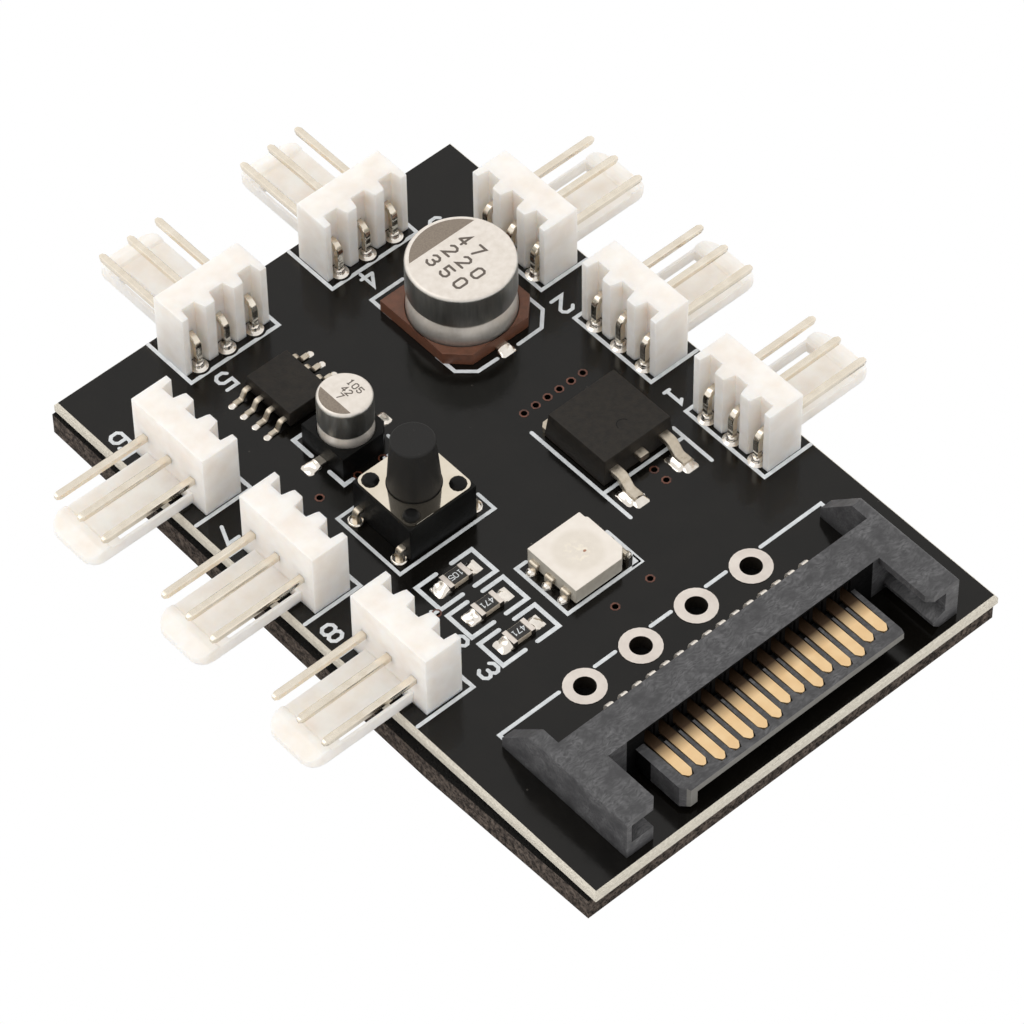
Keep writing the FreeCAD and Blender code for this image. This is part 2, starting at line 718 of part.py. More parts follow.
def inlet_contact(number, x):
    low, high = contact_levels()
    blade = plan_prism(contact_plan(x, contact_tip(number), 0), low, high)
    level = (low + high) / 2
    path = [(INLET_BODY_REAR, level), (CONTACT_TAIL_Y, level), (CONTACT_TAIL_Y, -BOARD_THICKNESS)]
    outline = bent_outline(path, CONTACT_THICKNESS, CONTACT_TAIL_RADIUS)
    half = CONTACT_TAIL_WIDTH / 2
    return joined([blade, side_prism(outline, x - half, x + half)])


def inlet_contacts():
    return Part.makeCompound([inlet_contact(n, x) for n, x in enumerate(contact_xs(), 1)])


def inlet_solder():
    joints = []
    half = CONTACT_TAIL_WIDTH / 2
    thick = CONTACT_THICKNESS / 2
    for x in contact_xs():
        y = CONTACT_TAIL_Y
        barrel = sided_post(SMALL_SIDES, CONTACT_HOLE, -BOARD_THICKNESS, INLET_JOINT_HEIGHT, x, y)
        tail = box(x - half, x + half, y - thick, y + thick, -BOARD_THICKNESS, 1)
        joints.append(barrel.cut(tail))
    return joints


# Capacitors, drawn about their own axis with the leads along x

def can_shell(c):
    r = c["diameter"] / 2
    bottom = c["groove"] - c["groove_width"] / 2
    e = c["edge"]
    k = e * CAN_EDGE_ROUND
    points = [(0, c["floor"]), (r - e, c["floor"]), (r, c["floor"] + e)]
    for i in range(CAN_GROOVE_STEPS + 1):
        turn = 2 * math.pi * i / CAN_GROOVE_STEPS
        dip = c["groove_depth"] * (1 - math.cos(turn)) / 2
        points.append((r - dip, bottom + c["groove_width"] * i / CAN_GROOVE_STEPS))
    points += [(r, c["height"] - e), (r - k, c["height"] - k), (r - e, c["height"]), (0, c["height"])]
    return revolve(points)


def can_base(c):
    h = c["base"] / 2
    k = c["chamfer"]
    outline = [(-h, -h), (h - k, -h), (h, -h + k), (h, h - k), (h - k, h), (-h, h)]
    base = plan_prism(outline, 0, c["rim"])
    base = base.cut(post(c["diameter"] + 2 * CAN_SEAT_GAP, c["floor"], c["rim"] + 1, 0, 0))
    for lead in can_lead_boxes(c):
        base = base.cut(lead)
    return base


def can_lead_boxes(c):
    w = c["lead"] / 2
    reach = c["base"] / 2 + c["lead_reach"]
    return [box(CAN_LEAD_START, reach, -w, w, 0, CAN_LEAD_THICKNESS),
            box(-reach, -CAN_LEAD_START, -w, w, 0, CAN_LEAD_THICKNESS)]


def can_leads(c):
    return Part.makeCompound(can_lead_boxes(c))


def can_solder(c):
    reach = c["base"] / 2 + c["lead_reach"]
    w = c["lead"] / 2 + CAN_PASTE_MARGIN
    outline = [(reach, 0), (reach + SMALL_PASTE_LENGTH, 0), (reach, CAN_LEAD_THICKNESS)]
    mirrored = [(-x, z) for x, z in outline]
    return [front_prism(outline, -w, w), front_prism(mirrored, -w, w)]


def at_can(shape, c):
    return placed(shape, c["x"], c["y"], c["turn"])


# Push button, drawn about its own axis

def peg_spots():
    return [(sx * PEG_OFFSET, sy * PEG_OFFSET) for sx in (-1, 1) for sy in (-1, 1)]


def button_base():
    h = BUTTON_BASE / 2
    base = box(-h, h, -h, h, 0, BUTTON_BASE_HEIGHT)
    well = PLUNGER_FLANGE_DIAMETER + 2 * PLUNGER_FIT
    base = base.cut(post(well, WELL_FLOOR, BUTTON_BASE_HEIGHT + 1, 0, 0))
    pegs = []
    crown = PEG_DIAMETER - 2 * PEG_CROWN
    for x, y in peg_spots():
        top = BUTTON_BASE_HEIGHT + BUTTON_COVER_THICKNESS + PEG_HEIGHT
        shoulder = top - PEG_CROWN
        pegs.append(sided_post(PEG_SIDES, PEG_DIAMETER, BUTTON_BASE_HEIGHT, shoulder, x, y))
        pegs.append(sided_cone(PEG_SIDES, PEG_DIAMETER, crown, shoulder, top, x, y))
    return joined([base] + pegs)


def button_cover():
    h = BUTTON_COVER / 2
    top = BUTTON_BASE_HEIGHT + BUTTON_COVER_THICKNESS
    cover = rounded_block(-h, h, -h, h, BUTTON_BASE_HEIGHT, top, BUTTON_COVER_RADIUS)
    cover = cover.cut(post(PLUNGER_DIAMETER + 2 * PLUNGER_FIT, 0, PLUNGER_TOP, 0, 0))
    for x, y in peg_spots():
        cover = cover.cut(sided_post(PEG_SIDES, PEG_DIAMETER + 2 * PEG_FIT, 0, PLUNGER_TOP, x, y))
    return cover


def button_plunger():
    shoulder = BUTTON_BASE_HEIGHT - PLUNGER_FLANGE_GAP
    sleeve = BUTTON_BASE_HEIGHT + BUTTON_COVER_THICKNESS + BUTTON_TRAVEL
    flange = PLUNGER_FLANGE_DIAMETER / 2
    lower = PLUNGER_DIAMETER / 2
    upper = PLUNGER_TOP_DIAMETER / 2
    e = PLUNGER_EDGE
    k = PLUNGER_EDGE_ROUND
    return revolve([(0, PLUNGER_FLANGE_BOTTOM), (flange, PLUNGER_FLANGE_BOTTOM), (flange, shoulder),
                    (lower, shoulder), (lower, sleeve), (upper, PLUNGER_TOP - e),
                    (upper - k, PLUNGER_TOP - k), (upper - e, PLUNGER_TOP), (0, PLUNGER_TOP)])


def button_dome():
    rim = DOME_DIAMETER / 2
    arc = 3
    outer = []
    inner = []
    for i in range(arc + 1):
        r = rim * i / arc
        z = WELL_FLOOR + DOME_RISE * (1 - (r / rim) ** 2)
        inner.append((r, z))
        outer.append((r, z + DOME_THICKNESS))
    return revolve(outer + inner[::-1])


def button_legs():
    path = [(BUTTON_BASE / 2, BUTTON_LEG_TOP), (BUTTON_LEG_X, BUTTON_LEG_TOP),
            (BUTTON_LEG_X, -BOARD_THICKNESS)]
    outline = bent_outline(path, BUTTON_LEG_THICKNESS, BUTTON_LEG_BEND)
    half = BUTTON_LEG_WIDTH / 2
    legs = []
    for turn in (0, 180):
        for y in (-BUTTON_LEG_Y, BUTTON_LEG_Y):
            legs.append(placed(front_prism(outline, y - half, y + half), 0, 0, turn))
    return legs


def button_solder():
    joints = []
    leg_set = Part.makeCompound(button_legs())
    for sx in (-1, 1):
        for sy in (-1, 1):
            x = sx * BUTTON_LEG_X
            y = sy * BUTTON_LEG_Y
            collar = sided_cone(SMALL_SIDES, 2 * BUTTON_JOINT_RADIUS, BUTTON_HOLE,
                                0, BUTTON_JOINT_HEIGHT, x, y)
            barrel = sided_post(SMALL_SIDES, BUTTON_HOLE, -BOARD_THICKNESS, 0, x, y)
            under_base = box(-BUTTON_BASE / 2, BUTTON_BASE / 2, -BUTTON_BASE, BUTTON_BASE, 0, 1)
            joints.append(joined([collar, barrel]).cut(leg_set).cut(under_base))
    return joints


# Power transistor, drawn about the middle of its body

def transistor_tab():
    rear = POWER_FOOT_SIZE[1] / 2
    w = TAB_WIDTH / 2
    k = TAB_CORNER
    front = rear - TAB_UNDER_BODY
    end = rear + TAB_REACH
    outline = [(-w, front), (w, front), (w, end - k), (w - k, end), (-w + k, end), (-w, end - k)]
    return plan_prism(outline, 0, TAB_THICKNESS)


def transistor_body():
    body = tapered_block(POWER_FOOT_SIZE, POWER_TOP_SIZE, POWER_STANDOFF, POWER_HEIGHT)
    return body.cut(transistor_tab())


def body_front_at(z):
    # How far the drafted front face stands from the middle at a given height
    share = (z - POWER_STANDOFF) / (POWER_HEIGHT - POWER_STANDOFF)
    return (POWER_FOOT_SIZE[1] + (POWER_TOP_SIZE[1] - POWER_FOOT_SIZE[1]) * share) / 2


def transistor_leads():
    front = body_front_at(POWER_LEAD_Z)
    root = front - POWER_LEAD_THICKNESS
    low = POWER_LEAD_THICKNESS / 2
    end = -front - POWER_LEAD_REACH
    path = [(-root, POWER_LEAD_Z), (-front - POWER_LEAD_KNEE, POWER_LEAD_Z),
            (-front - POWER_LEAD_HEEL, low), (end, low)]
    outline = bent_outline(path, POWER_LEAD_THICKNESS, POWER_LEAD_BEND)
    half = POWER_LEAD_WIDTH / 2
    leads = []
    for x in (-POWER_LEAD_PITCH / 2, POWER_LEAD_PITCH / 2):
        leads.append(side_prism(outline, x - half, x + half))
    stub = box(-half, half, -front - POWER_STUB_REACH, -root,
               POWER_LEAD_Z - POWER_LEAD_THICKNESS / 2, POWER_LEAD_Z + POWER_LEAD_THICKNESS / 2)
    return [lead.cut(transistor_body()) for lead in leads + [stub]]


def transistor_solder():
    end = -body_front_at(POWER_LEAD_Z) - POWER_LEAD_REACH
    pastes = []
    for x in (-POWER_LEAD_PITCH / 2, POWER_LEAD_PITCH / 2):
        w = POWER_LEAD_WIDTH / 2 + POWER_PASTE_MARGIN
        outline = [(end, 0), (end, PASTE_HEIGHT), (end - POWER_PASTE_LENGTH, 0)]
        pastes.append(side_prism(outline, x - w, x + w))
    return pastes


# Control chip, drawn about its middle

def chip_body():
    w = CHIP_WIDTH
    d = CHIP_LENGTH
    t = 2 * CHIP_DRAFT
    lower = tapered_block((w - t, d - t), (w, d), CHIP_BOTTOM, CHIP_MIDDLE)
    upper = tapered_block((w, d), (w - t, d - t), CHIP_MIDDLE, CHIP_TOP)
    return joined([lower, upper])


def chip_leg_ys():
    middle = (CHIP_LEGS_A_SIDE - 1) / 2
    return [CHIP_LEG_PITCH * (i - middle) for i in range(CHIP_LEGS_A_SIDE)]


def chip_legs():
    side = CHIP_WIDTH / 2
    low = CHIP_LEG_THICKNESS / 2
    path = [(side - CHIP_LEG_ROOT, CHIP_MIDDLE), (side + CHIP_LEG_KNEE, CHIP_MIDDLE),
            (side + CHIP_LEG_HEEL, low), (side + CHIP_LEG_REACH, low)]
    outline = bent_outline(path, CHIP_LEG_THICKNESS, CHIP_LEG_BEND, 2)
    half = CHIP_LEG_WIDTH / 2
    legs = []
    for turn in (0, 180):
        for y in chip_leg_ys():
            leg = placed(front_prism(outline, y - half, y + half), 0, 0, turn)
            legs.append(leg.cut(chip_body()))
    return legs


def chip_solder():
    end = CHIP_WIDTH / 2 + CHIP_LEG_REACH
    w = CHIP_LEG_WIDTH / 2 + CHIP_PASTE_MARGIN
    outline = [(end, 0), (end + SMALL_PASTE_LENGTH, 0), (end, SMALL_PASTE_HEIGHT)]
    pastes = []
    for turn in (0, 180):
        for y in chip_leg_ys():
            pastes.append(placed(front_prism(outline, y - w, y + w), 0, 0, turn))
    return pastes


# Status lamp, drawn about its middle

def lamp_housing():
    h = LAMP_SIZE / 2
    k = LAMP_CORNER
    # One corner is cut off, and the side steps in a little before the next one
    end = h - LAMP_STEP_LENGTH
    outline = [(-h, -h), (h - k, -h), (h, -h + k), (h, end), (h - LAMP_STEP, end + LAMP_STEP),
               (h - LAMP_STEP, h), (-h, h)]
    block = plan_prism(outline, LAMP_STANDOFF, LAMP_HEIGHT)
    return block.cut(lens_cone(LAMP_HEIGHT))


def lens_cone(top):
    slope = (LENS_DIAMETER - LENS_FLOOR_DIAMETER) / (LAMP_HEIGHT - LENS_FLOOR)
    wide = LENS_FLOOR_DIAMETER + slope * (top - LENS_FLOOR)
    return Part.makeCone(LENS_FLOOR_DIAMETER / 2, wide / 2, top - LENS_FLOOR, V(0, 0, LENS_FLOOR))


def lamp_dies():
    dies = []
    for i in range(3):
        angle = math.radians(90 + 120 * i)
        x = DIE_RING * math.cos(angle)
        y = DIE_RING * math.sin(angle)
        dies.append(box(x - DIE_SIZE / 2, x + DIE_SIZE / 2, y - DIE_SIZE / 2, y + DIE_SIZE / 2,
                        LENS_FLOOR, LENS_FLOOR + DIE_HEIGHT))
    return dies


def lamp_lens():
    return lens_cone(LAMP_HEIGHT).cut(Part.makeCompound(lamp_dies()))


def lamp_leg_ys():
    return [LAMP_LEG_PITCH * i for i in (-1, 0, 1)]


def lamp_legs():
    side = LAMP_SIZE / 2
    outer = side + LAMP_LEG_THICKNESS
    outline = [(side - LAMP_FOOT, 0), (outer, 0), (outer, LAMP_LEG_HEIGHT),
               (side, LAMP_LEG_HEIGHT), (side, LAMP_STANDOFF), (side - LAMP_FOOT, LAMP_STANDOFF)]
    half = LAMP_LEG_WIDTH / 2
    legs = []
    for turn in (0, 180):
        for y in lamp_leg_ys():
            legs.append(placed(front_prism(outline, y - half, y + half), 0, 0, turn))
    return legs


def lamp_solder():
    end = LAMP_SIZE / 2 + LAMP_LEG_THICKNESS
    w = LAMP_LEG_WIDTH / 2
    outline = [(end, 0), (end + LAMP_PASTE_LENGTH, 0), (end, PASTE_HEIGHT)]
    pastes = []
    for turn in (0, 180):
        for y in lamp_leg_ys():
            pastes.append(placed(front_prism(outline, y - w, y + w), 0, 0, turn))
    return pastes


# Chip resistors, drawn about their middle along x

def resistor_body():
    wall = RESISTOR_CAP_WALL
    length = RESISTOR_LENGTH / 2 - wall
    width = RESISTOR_WIDTH / 2 - wall
    return box(-length, length, -width, width, wall, RESISTOR_HEIGHT - wall)


def resistor_caps():
    half = RESISTOR_LENGTH / 2
    w = RESISTOR_WIDTH / 2
    core = resistor_body()
    right = box(half - RESISTOR_CAP, half, -w, w, 0, RESISTOR_HEIGHT).cut(core)
    left = box(-half, -half + RESISTOR_CAP, -w, w, 0, RESISTOR_HEIGHT).cut(core)
    return Part.makeCompound([left, right])


def resistor_solder():
    half = RESISTOR_LENGTH / 2
    w = RESISTOR_WIDTH / 2 + RESISTOR_PASTE_MARGIN
    outline = [(half, 0), (half + PASTE_LENGTH, 0),
               (half + RESISTOR_PASTE_WAIST, RESISTOR_PASTE_WAIST_HEIGHT), (half, PASTE_HEIGHT)]
    mirrored = [(-x, z) for x, z in outline]
    return [front_prism(outline, -w, w), front_prism(mirrored, -w, w)]


# All the solder on the board

def solder_joints():
    joints = inlet_solder()
    header_set = header_solder()
    for x, y, turn in header_spots():
        joints += [placed(j, x, y, turn) for j in header_set]
    joints += [placed(j, BUTTON_X, BUTTON_Y) for j in button_solder()]
    joints += [placed(j, POWER_X, POWER_Y) for j in transistor_solder()]
    joints += [placed(j, CHIP_X, CHIP_Y) for j in chip_solder()]
    joints += [placed(j, LAMP_X, LAMP_Y) for j in lamp_solder()]
    for can in (LARGE_CAN, SMALL_CAN):
        joints += [at_can(j, can) for j in can_solder(can)]
    for y in RESISTOR_YS:
        joints += [placed(j, RESISTOR_X, y) for j in resistor_solder()]
    return Part.makeCompound(joints)


def at_button(shapes):
    return placed(as_one(shapes), BUTTON_X, BUTTON_Y)


def as_one(shapes):
    return Part.makeCompound(shapes) if isinstance(shapes, list) else shapes


def export(name, shape):
    moved = shape.copy()
    moved.translate(V(-BOARD_WIDTH / 2, -BOARD_LENGTH / 2, BOARD_THICKNESS + PAD_THICKNESS))
    moved.exportStep(os.path.join("parts", name + ".step"))


os.makedirs("parts", exist_ok=True)

export("circuit_board", circuit_board())
export("foam_pad", foam_pad())
export("wire_hole_rings", wire_hole_rings())
export("via_rings", via_rings())
export("solder_joints", solder_joints())

# The rear and left headers reach a little further out than the right ones
EXTRA_REACH = {0: 0, 90: REAR_EXTRA_REACH, 180: LEFT_EXTRA_REACH}
housings = {turn: header_housing(extra) for turn, extra in EXTRA_REACH.items()}
pins = {turn: header_pins(extra) for turn, extra in EXTRA_REACH.items()}
for number, (spot_x, spot_y, spot_turn) in enumerate(header_spots(), 1):
    export("fan_header_%d_housing" % number, placed(housings[spot_turn], spot_x, spot_y, spot_turn))
    export("fan_header_%d_pins" % number, placed(pins[spot_turn], spot_x, spot_y, spot_turn))

export("power_inlet_housing", inlet_housing())
export("power_inlet_contacts", inlet_contacts())

for can_name, can in (("large_capacitor", LARGE_CAN), ("small_capacitor", SMALL_CAN)):
    export(can_name + "_can", at_can(can_shell(can), can))
    export(can_name + "_base", at_can(can_base(can), can))
    export(can_name + "_leads", at_can(can_leads(can), can))

export("push_button_base", at_button(button_base()))
export("push_button_cover", at_button(button_cover()))
export("push_button_plunger", at_button(button_plunger()))
export("push_button_dome", at_button(button_dome()))
export("push_button_legs", at_button(button_legs()))

export("transistor_body", placed(transistor_body(), POWER_X, POWER_Y))
export("transistor_tab", placed(transistor_tab(), POWER_X, POWER_Y))
export("transistor_leads", placed(as_one(transistor_leads()), POWER_X, POWER_Y))

export("control_chip_body", placed(chip_body(), CHIP_X, CHIP_Y))
export("control_chip_legs", placed(as_one(chip_legs()), CHIP_X, CHIP_Y))

export("lamp_housing", placed(lamp_housing(), LAMP_X, LAMP_Y))
export("lamp_lens", placed(lamp_lens(), LAMP_X, LAMP_Y))
export("lamp_dies", placed(as_one(lamp_dies()), LAMP_X, LAMP_Y))
export("lamp_legs", placed(as_one(lamp_legs()), LAMP_X, LAMP_Y))

for number, spot_y in enumerate(RESISTOR_YS, 1):
    export("resistor_%d_body" % number, placed(resistor_body(), RESISTOR_X, spot_y))
    export("resistor_%d_caps" % number, placed(resistor_caps(), RESISTOR_X, spot_y))
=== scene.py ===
import math
import random

import bmesh
import bpy
from mathutils import Matrix, Vector, noise


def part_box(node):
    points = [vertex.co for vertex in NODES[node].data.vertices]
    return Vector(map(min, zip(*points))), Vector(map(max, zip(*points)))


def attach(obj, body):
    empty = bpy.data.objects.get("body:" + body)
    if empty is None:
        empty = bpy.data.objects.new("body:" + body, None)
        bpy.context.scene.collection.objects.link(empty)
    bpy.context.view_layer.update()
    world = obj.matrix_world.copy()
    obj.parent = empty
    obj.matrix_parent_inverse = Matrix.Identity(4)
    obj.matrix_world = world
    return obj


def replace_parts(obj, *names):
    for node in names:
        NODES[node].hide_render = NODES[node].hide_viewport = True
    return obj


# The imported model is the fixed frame, in metres. Every size below is in millimetres.
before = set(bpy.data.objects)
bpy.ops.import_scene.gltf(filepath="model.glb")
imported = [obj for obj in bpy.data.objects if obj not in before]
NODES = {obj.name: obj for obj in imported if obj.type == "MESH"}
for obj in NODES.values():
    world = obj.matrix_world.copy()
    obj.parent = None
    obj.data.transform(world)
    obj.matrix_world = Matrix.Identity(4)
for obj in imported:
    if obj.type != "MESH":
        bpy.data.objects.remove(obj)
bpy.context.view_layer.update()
MM = 0.001

# Foam pad: a slab of dark closed cell foam, stuck under the whole board.
# Its top is painted near black, partly for the smooth black film of the adhesive and partly as
# painted shade under the board's edge; its cut sides show the broken cells as pale specks.


def srgb(code):
    """Linear colour from a hex code such as #2b2825."""
    values = [int(code[i:i + 2], 16) / 255 for i in (1, 3, 5)]
    return [v / 12.92 if v <= 0.04045 else ((v + 0.055) / 1.055) ** 2.4 for v in values] + [1.0]


def add(tree, kind, inputs=None, **settings):
    """One shader node. Inputs hold constants or the sockets that feed them."""
    n = tree.nodes.new("ShaderNode" + kind)
    for key, value in settings.items():
        setattr(n, key, value)
    for key, value in (inputs or {}).items():
        if isinstance(value, bpy.types.NodeSocket):
            tree.links.new(value, n.inputs[key])
        else:
            n.inputs[key].default_value = value
    return n


def material(name):
    """An empty material with its object coordinates and surface shader."""
    m = bpy.data.materials.new(name)
    m.use_nodes = True
    tree = m.node_tree
    tree.nodes.clear()
    place = add(tree, "TexCoord").outputs["Object"]
    surface = add(tree, "BsdfPrincipled")
    out = add(tree, "OutputMaterial")
    tree.links.new(surface.outputs[0], out.inputs["Surface"])
    return m, tree, place, surface


def grain(tree, place, feature_mm, low, high, detail=3.0, stretch=(1, 1, 1)):
    """A value that wanders from low to high over patches of the given size."""
    moved = add(tree, "Mapping", {"Vector": place, "Scale": stretch})
    cloud = add(tree, "TexNoise", {"Vector": moved.outputs[0], "Scale": 1 / (feature_mm * MM),
                                   "Detail": detail})
    return add(tree, "MapRange", {"Value": cloud.outputs["Fac"], "From Min": 0.3, "From Max": 0.7,
                                  "To Min": low, "To Max": high}).outputs[0]


def mottle(tree, place, feature_mm, first, second, detail=3.0, stretch=(1, 1, 1)):
    """A colour that wanders between two tones over patches of the given size."""
    share = grain(tree, place, feature_mm, 0, 1, detail, stretch)
    return add(tree, "Mix", {"Factor": share, 6: srgb(first), 7: srgb(second)}, data_type="RGBA").outputs[2]


def uneven(tree, place, feature_mm, depth_mm, strength, detail=3.0, stretch=(1, 1, 1)):
    """A skin that rises and falls by the given depth over patches of the given size."""
    height = grain(tree, place, feature_mm, 0, 1, detail, stretch)
    return add(tree, "Bump", {"Height": height, "Distance": depth_mm * MM, "Strength": strength}).outputs[0]


def feed(tree, surface, **values):
    """Sets the surface shader's inputs from constants or sockets."""
    for key, value in values.items():
        socket = surface.inputs[key.replace("_", " ")]
        if isinstance(value, bpy.types.NodeSocket):
            tree.links.new(value, socket)
        else:
            socket.default_value = value


def dress(finish, *nodes):
    """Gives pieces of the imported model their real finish."""
    for node in nodes:
        slots = NODES[node].data.materials
        slots.clear()
        slots.append(finish)


def pad_foam():
    # Speckled and dull on the cut sides, painted plain black where a face points up: partly the adhesive
    # film, partly painted shade
    m, t, p, s = material("dark speckled foam")
    cells = add(t, "TexVoronoi", {"Vector": p, "Scale": 1 / (0.24 * MM)})
    specks = add(t, "MapRange", {"Value": cells.outputs["Distance"],
                                 "From Min": 0.1, "From Max": 0.55}).outputs[0]
    share = add(t, "Math", {0: specks, 1: grain(t, p, 0.45, 0.0, 1.0, 4.0)}, operation="MULTIPLY").outputs[0]
    cut = add(t, "Mix", {"Factor": share, 6: srgb("#1a1512"), 7: srgb("#6a5f57")},
              data_type="RGBA").outputs[2]
    parts = add(t, "SeparateXYZ", {0: add(t, "NewGeometry").outputs["True Normal"]})
    film = add(t, "MapRange", {"Value": parts.outputs["Z"], "From Min": 0.05, "From Max": 0.15}).outputs[0]
    tone = add(t, "Mix", {"Factor": film, 6: cut, 7: srgb("#0f0e0d")}, data_type="RGBA").outputs[2]
    dents = add(t, "Bump", {"Height": specks, "Distance": 0.12 * MM, "Strength": 0.8}).outputs[0]
    feed(t, s, Base_Color=tone, Roughness=0.85, Specular_IOR_Level=0.2, Normal=dents)
    return m


dress(pad_foam(), "foam_pad")

# Circuit board: glass fibre laminate under black solder mask, snapped out of a larger
# panel. Plan positions are counted from its front left corner, heights from its top.
EDGE_FLARE = 0.22
SNAPPED_RIM = 0.205
board_low, board_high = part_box("circuit_board")
CORNER = Vector((board_low.x + EDGE_FLARE * MM, board_low.y + EDGE_FLARE * MM, board_high.z))


def at(x, y, z=0.0):
    """A place in the frame, from millimetres on the board."""
    return CORNER + Vector((x, y, z)) * MM


def solder_mask():
    # Deep black gloss that follows the weave below it, with a few specks of dust
    m, t, p, s = material("glossy black solder mask")
    tone = mottle(t, p, 3.0, "#0b0a08", "#12100d")
    dots = add(t, "TexVoronoi", {"Vector": p, "Scale": 1 / (1.9 * MM)})
    dust = add(t, "MapRange", {"Value": dots.outputs["Distance"], "From Min": 0.05, "From Max": 0.02})
    few = add(t, "Math", {0: dust.outputs[0], 1: grain(t, p, 2.0, -0.4, 0.6)},
              operation="MULTIPLY", use_clamp=True)
    tone = add(t, "Mix", {"Factor": few.outputs[0], 6: tone, 7: srgb("#a7a298")}, data_type="RGBA").outputs[2]
    layers = (1, 1, 2.5)
    glass = mottle(t, p, 0.22, "#dcd5c6", "#f4eee0", 4.0, layers)
    edge = add(t, "BsdfPrincipled", {"Base Color": glass, "Roughness": 0.62,
                                     "Normal": uneven(t, p, 0.22, 0.10, 1.0, 4.0, layers)})
    feed(t, s, Base_Color=tone, Roughness=grain(t, p, 1.4, 0.10, 0.20),
         Specular_IOR_Level=0.31, Normal=uneven(t, p, 0.35, 0.004, 0.35, 2.0))
    # Only the snapped outer edge shows bare glass fibre; the small holes stay black
    spot = add(t, "SeparateXYZ", {0: p})
    outer = []
    for axis, half in (("X", (board_high.x - board_low.x) / 2), ("Y", (board_high.y - board_low.y) / 2)):
        far = add(t, "Math", {0: spot.outputs[axis]}, operation="ABSOLUTE")
        beyond = add(t, "Math", {0: far.outputs[0], 1: half - SNAPPED_RIM * MM}, operation="GREATER_THAN")
        outer.append(beyond.outputs[0])
    snapped = add(t, "Math", {0: outer[0], 1: outer[1]}, operation="MAXIMUM")
    both = add(t, "MixShader", {0: snapped.outputs[0], 1: s.outputs[0], 2: edge.outputs[0]})
    t.links.new(both.outputs[0], t.nodes["Material Output"].inputs["Surface"])
    return m


def ring_tin():
    # Pale on the flat ring; every face that does not point up is painted dark, as painted shade down the bore
    # and on the resistor caps' sides
    m, t, p, s = material("matt tinned copper")
    flat = mottle(t, p, 0.9, "#e0d7cf", "#ece4dc")
    geometry = add(t, "NewGeometry")
    parts = add(t, "SeparateXYZ", {0: geometry.outputs["True Normal"]})
    # Painted shade: faces that do not point up get the dark brown tone
    unshaded_upward = add(t, "Math", {0: parts.outputs["Z"], 1: 0.5}, operation="GREATER_THAN")
    tone = add(t, "Mix", {"Factor": unshaded_upward.outputs[0], 6: srgb("#2b2620"), 7: flat},
               data_type="RGBA").outputs[2]
    feed(t, s, Base_Color=tone, Metallic=0.35, Roughness=grain(t, p, 0.3, 0.5, 0.65),
         Normal=uneven(t, p, 0.15, 0.006, 0.4))
    return m


def masked_copper():
    # The plating of the small holes shows only as a dull red ring below the mask
    m, t, p, s = material("copper seen through the mask")
    feed(t, s, Base_Color=mottle(t, p, 0.3, "#3a1a10", "#7a4530"), Metallic=0.3,
         Roughness=0.35, Coat_Weight=0.5)
    return m


RING_TIN = ring_tin()
dress(solder_mask(), "circuit_board")
dress(masked_copper(), "via_rings")
dress(RING_TIN, "wire_hole_rings")

# Legend: white ink screened on the mask, as outlines round the pieces and plain numbers.
# Each line is a flat ribbon with mitred corners and round ends.
INK_Z = 0.018
INK_WIDTH = 0.29
BITTEN_WIDTH = 0.31
OUTLINE_LENGTH = 7.97
RIGHT_EDGE = 36.25
RIGHT_LINE_X = 31.88
LEFT_EDGE = 0.10
LEFT_LINE_X = 5.02
BACK_EDGE = 55.70
BACK_LINE_Y = 50.92
PIN_PITCH = 2.54
HEADER_YS = [21.85 + 11.505 * i for i in range(3)]
BACK_XS = (24.95, 11.96)
RIGHT_FOOT_X = 32.53
LEFT_FOOT_X = 4.13
BACK_FOOT_Y = 51.80


def white_ink():
    # Matt and slightly uneven, a little cooler than the plastics
    m, t, p, s = material("white legend ink")
    feed(t, s, Base_Color=mottle(t, p, 0.5, "#d3d8dc", "#eaeef1"),
         Roughness=grain(t, p, 0.3, 0.45, 0.6), Normal=uneven(t, p, 0.12, 0.01, 0.4))
    return m


def new_piece(name, bm, finish, smooth=35.0):
    """Turns a bmesh into a named piece of the board."""
    bmesh.ops.recalc_face_normals(bm, faces=bm.faces)
    mesh = bpy.data.meshes.new(name)
    bm.to_mesh(mesh)
    bm.free()
    o = bpy.data.objects.new(name, mesh)
    bpy.context.scene.collection.objects.link(o)
    mesh.materials.append(finish)
    mesh.shade_smooth()
    mesh.set_sharp_from_angle(angle=math.radians(smooth))
    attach(o, "board")
    return o


def ribbon(bm, points, width, z0, z1):
    """A flat line through the points, with mitred corners."""
    pts = [Vector(p) for p in points]
    count = len(pts)
    left = []
    right = []
    for i, p in enumerate(pts):
        before = pts[i - 1] if i else None
        after = pts[i + 1] if i < count - 1 else None
        a = (p - before).normalized() if before is not None else (after - p).normalized()
        b = (after - p).normalized() if after is not None else a
        n = Vector((-a.y - b.y, a.x + b.x)).normalized()
        reach = width / 2 / max(0.35, n.dot(Vector((-a.y, a.x))))
        left.append(p + n * reach)
        right.append(p - n * reach)
    low = [(bm.verts.new(at(*q, z0)), bm.verts.new(at(*r, z0))) for q, r in zip(left, right)]
    high = [(bm.verts.new(at(*q, z1)), bm.verts.new(at(*r, z1))) for q, r in zip(left, right)]
    for i in range(count - 1):
        j = i + 1
        bm.faces.new((high[i][0], high[i][1], high[j][1], high[j][0]))
        bm.faces.new((low[i][1], low[i][0], low[j][0], low[j][1]))
        bm.faces.new((high[i][0], high[j][0], low[j][0], low[i][0]))
        bm.faces.new((high[j][1], high[i][1], low[i][1], low[j][1]))
    round_end(bm, high[0], low[0], pts[0] - pts[1], width, z0, z1)
    round_end(bm, high[-1][::-1], low[-1][::-1], pts[-1] - pts[-2], width, z0, z1)


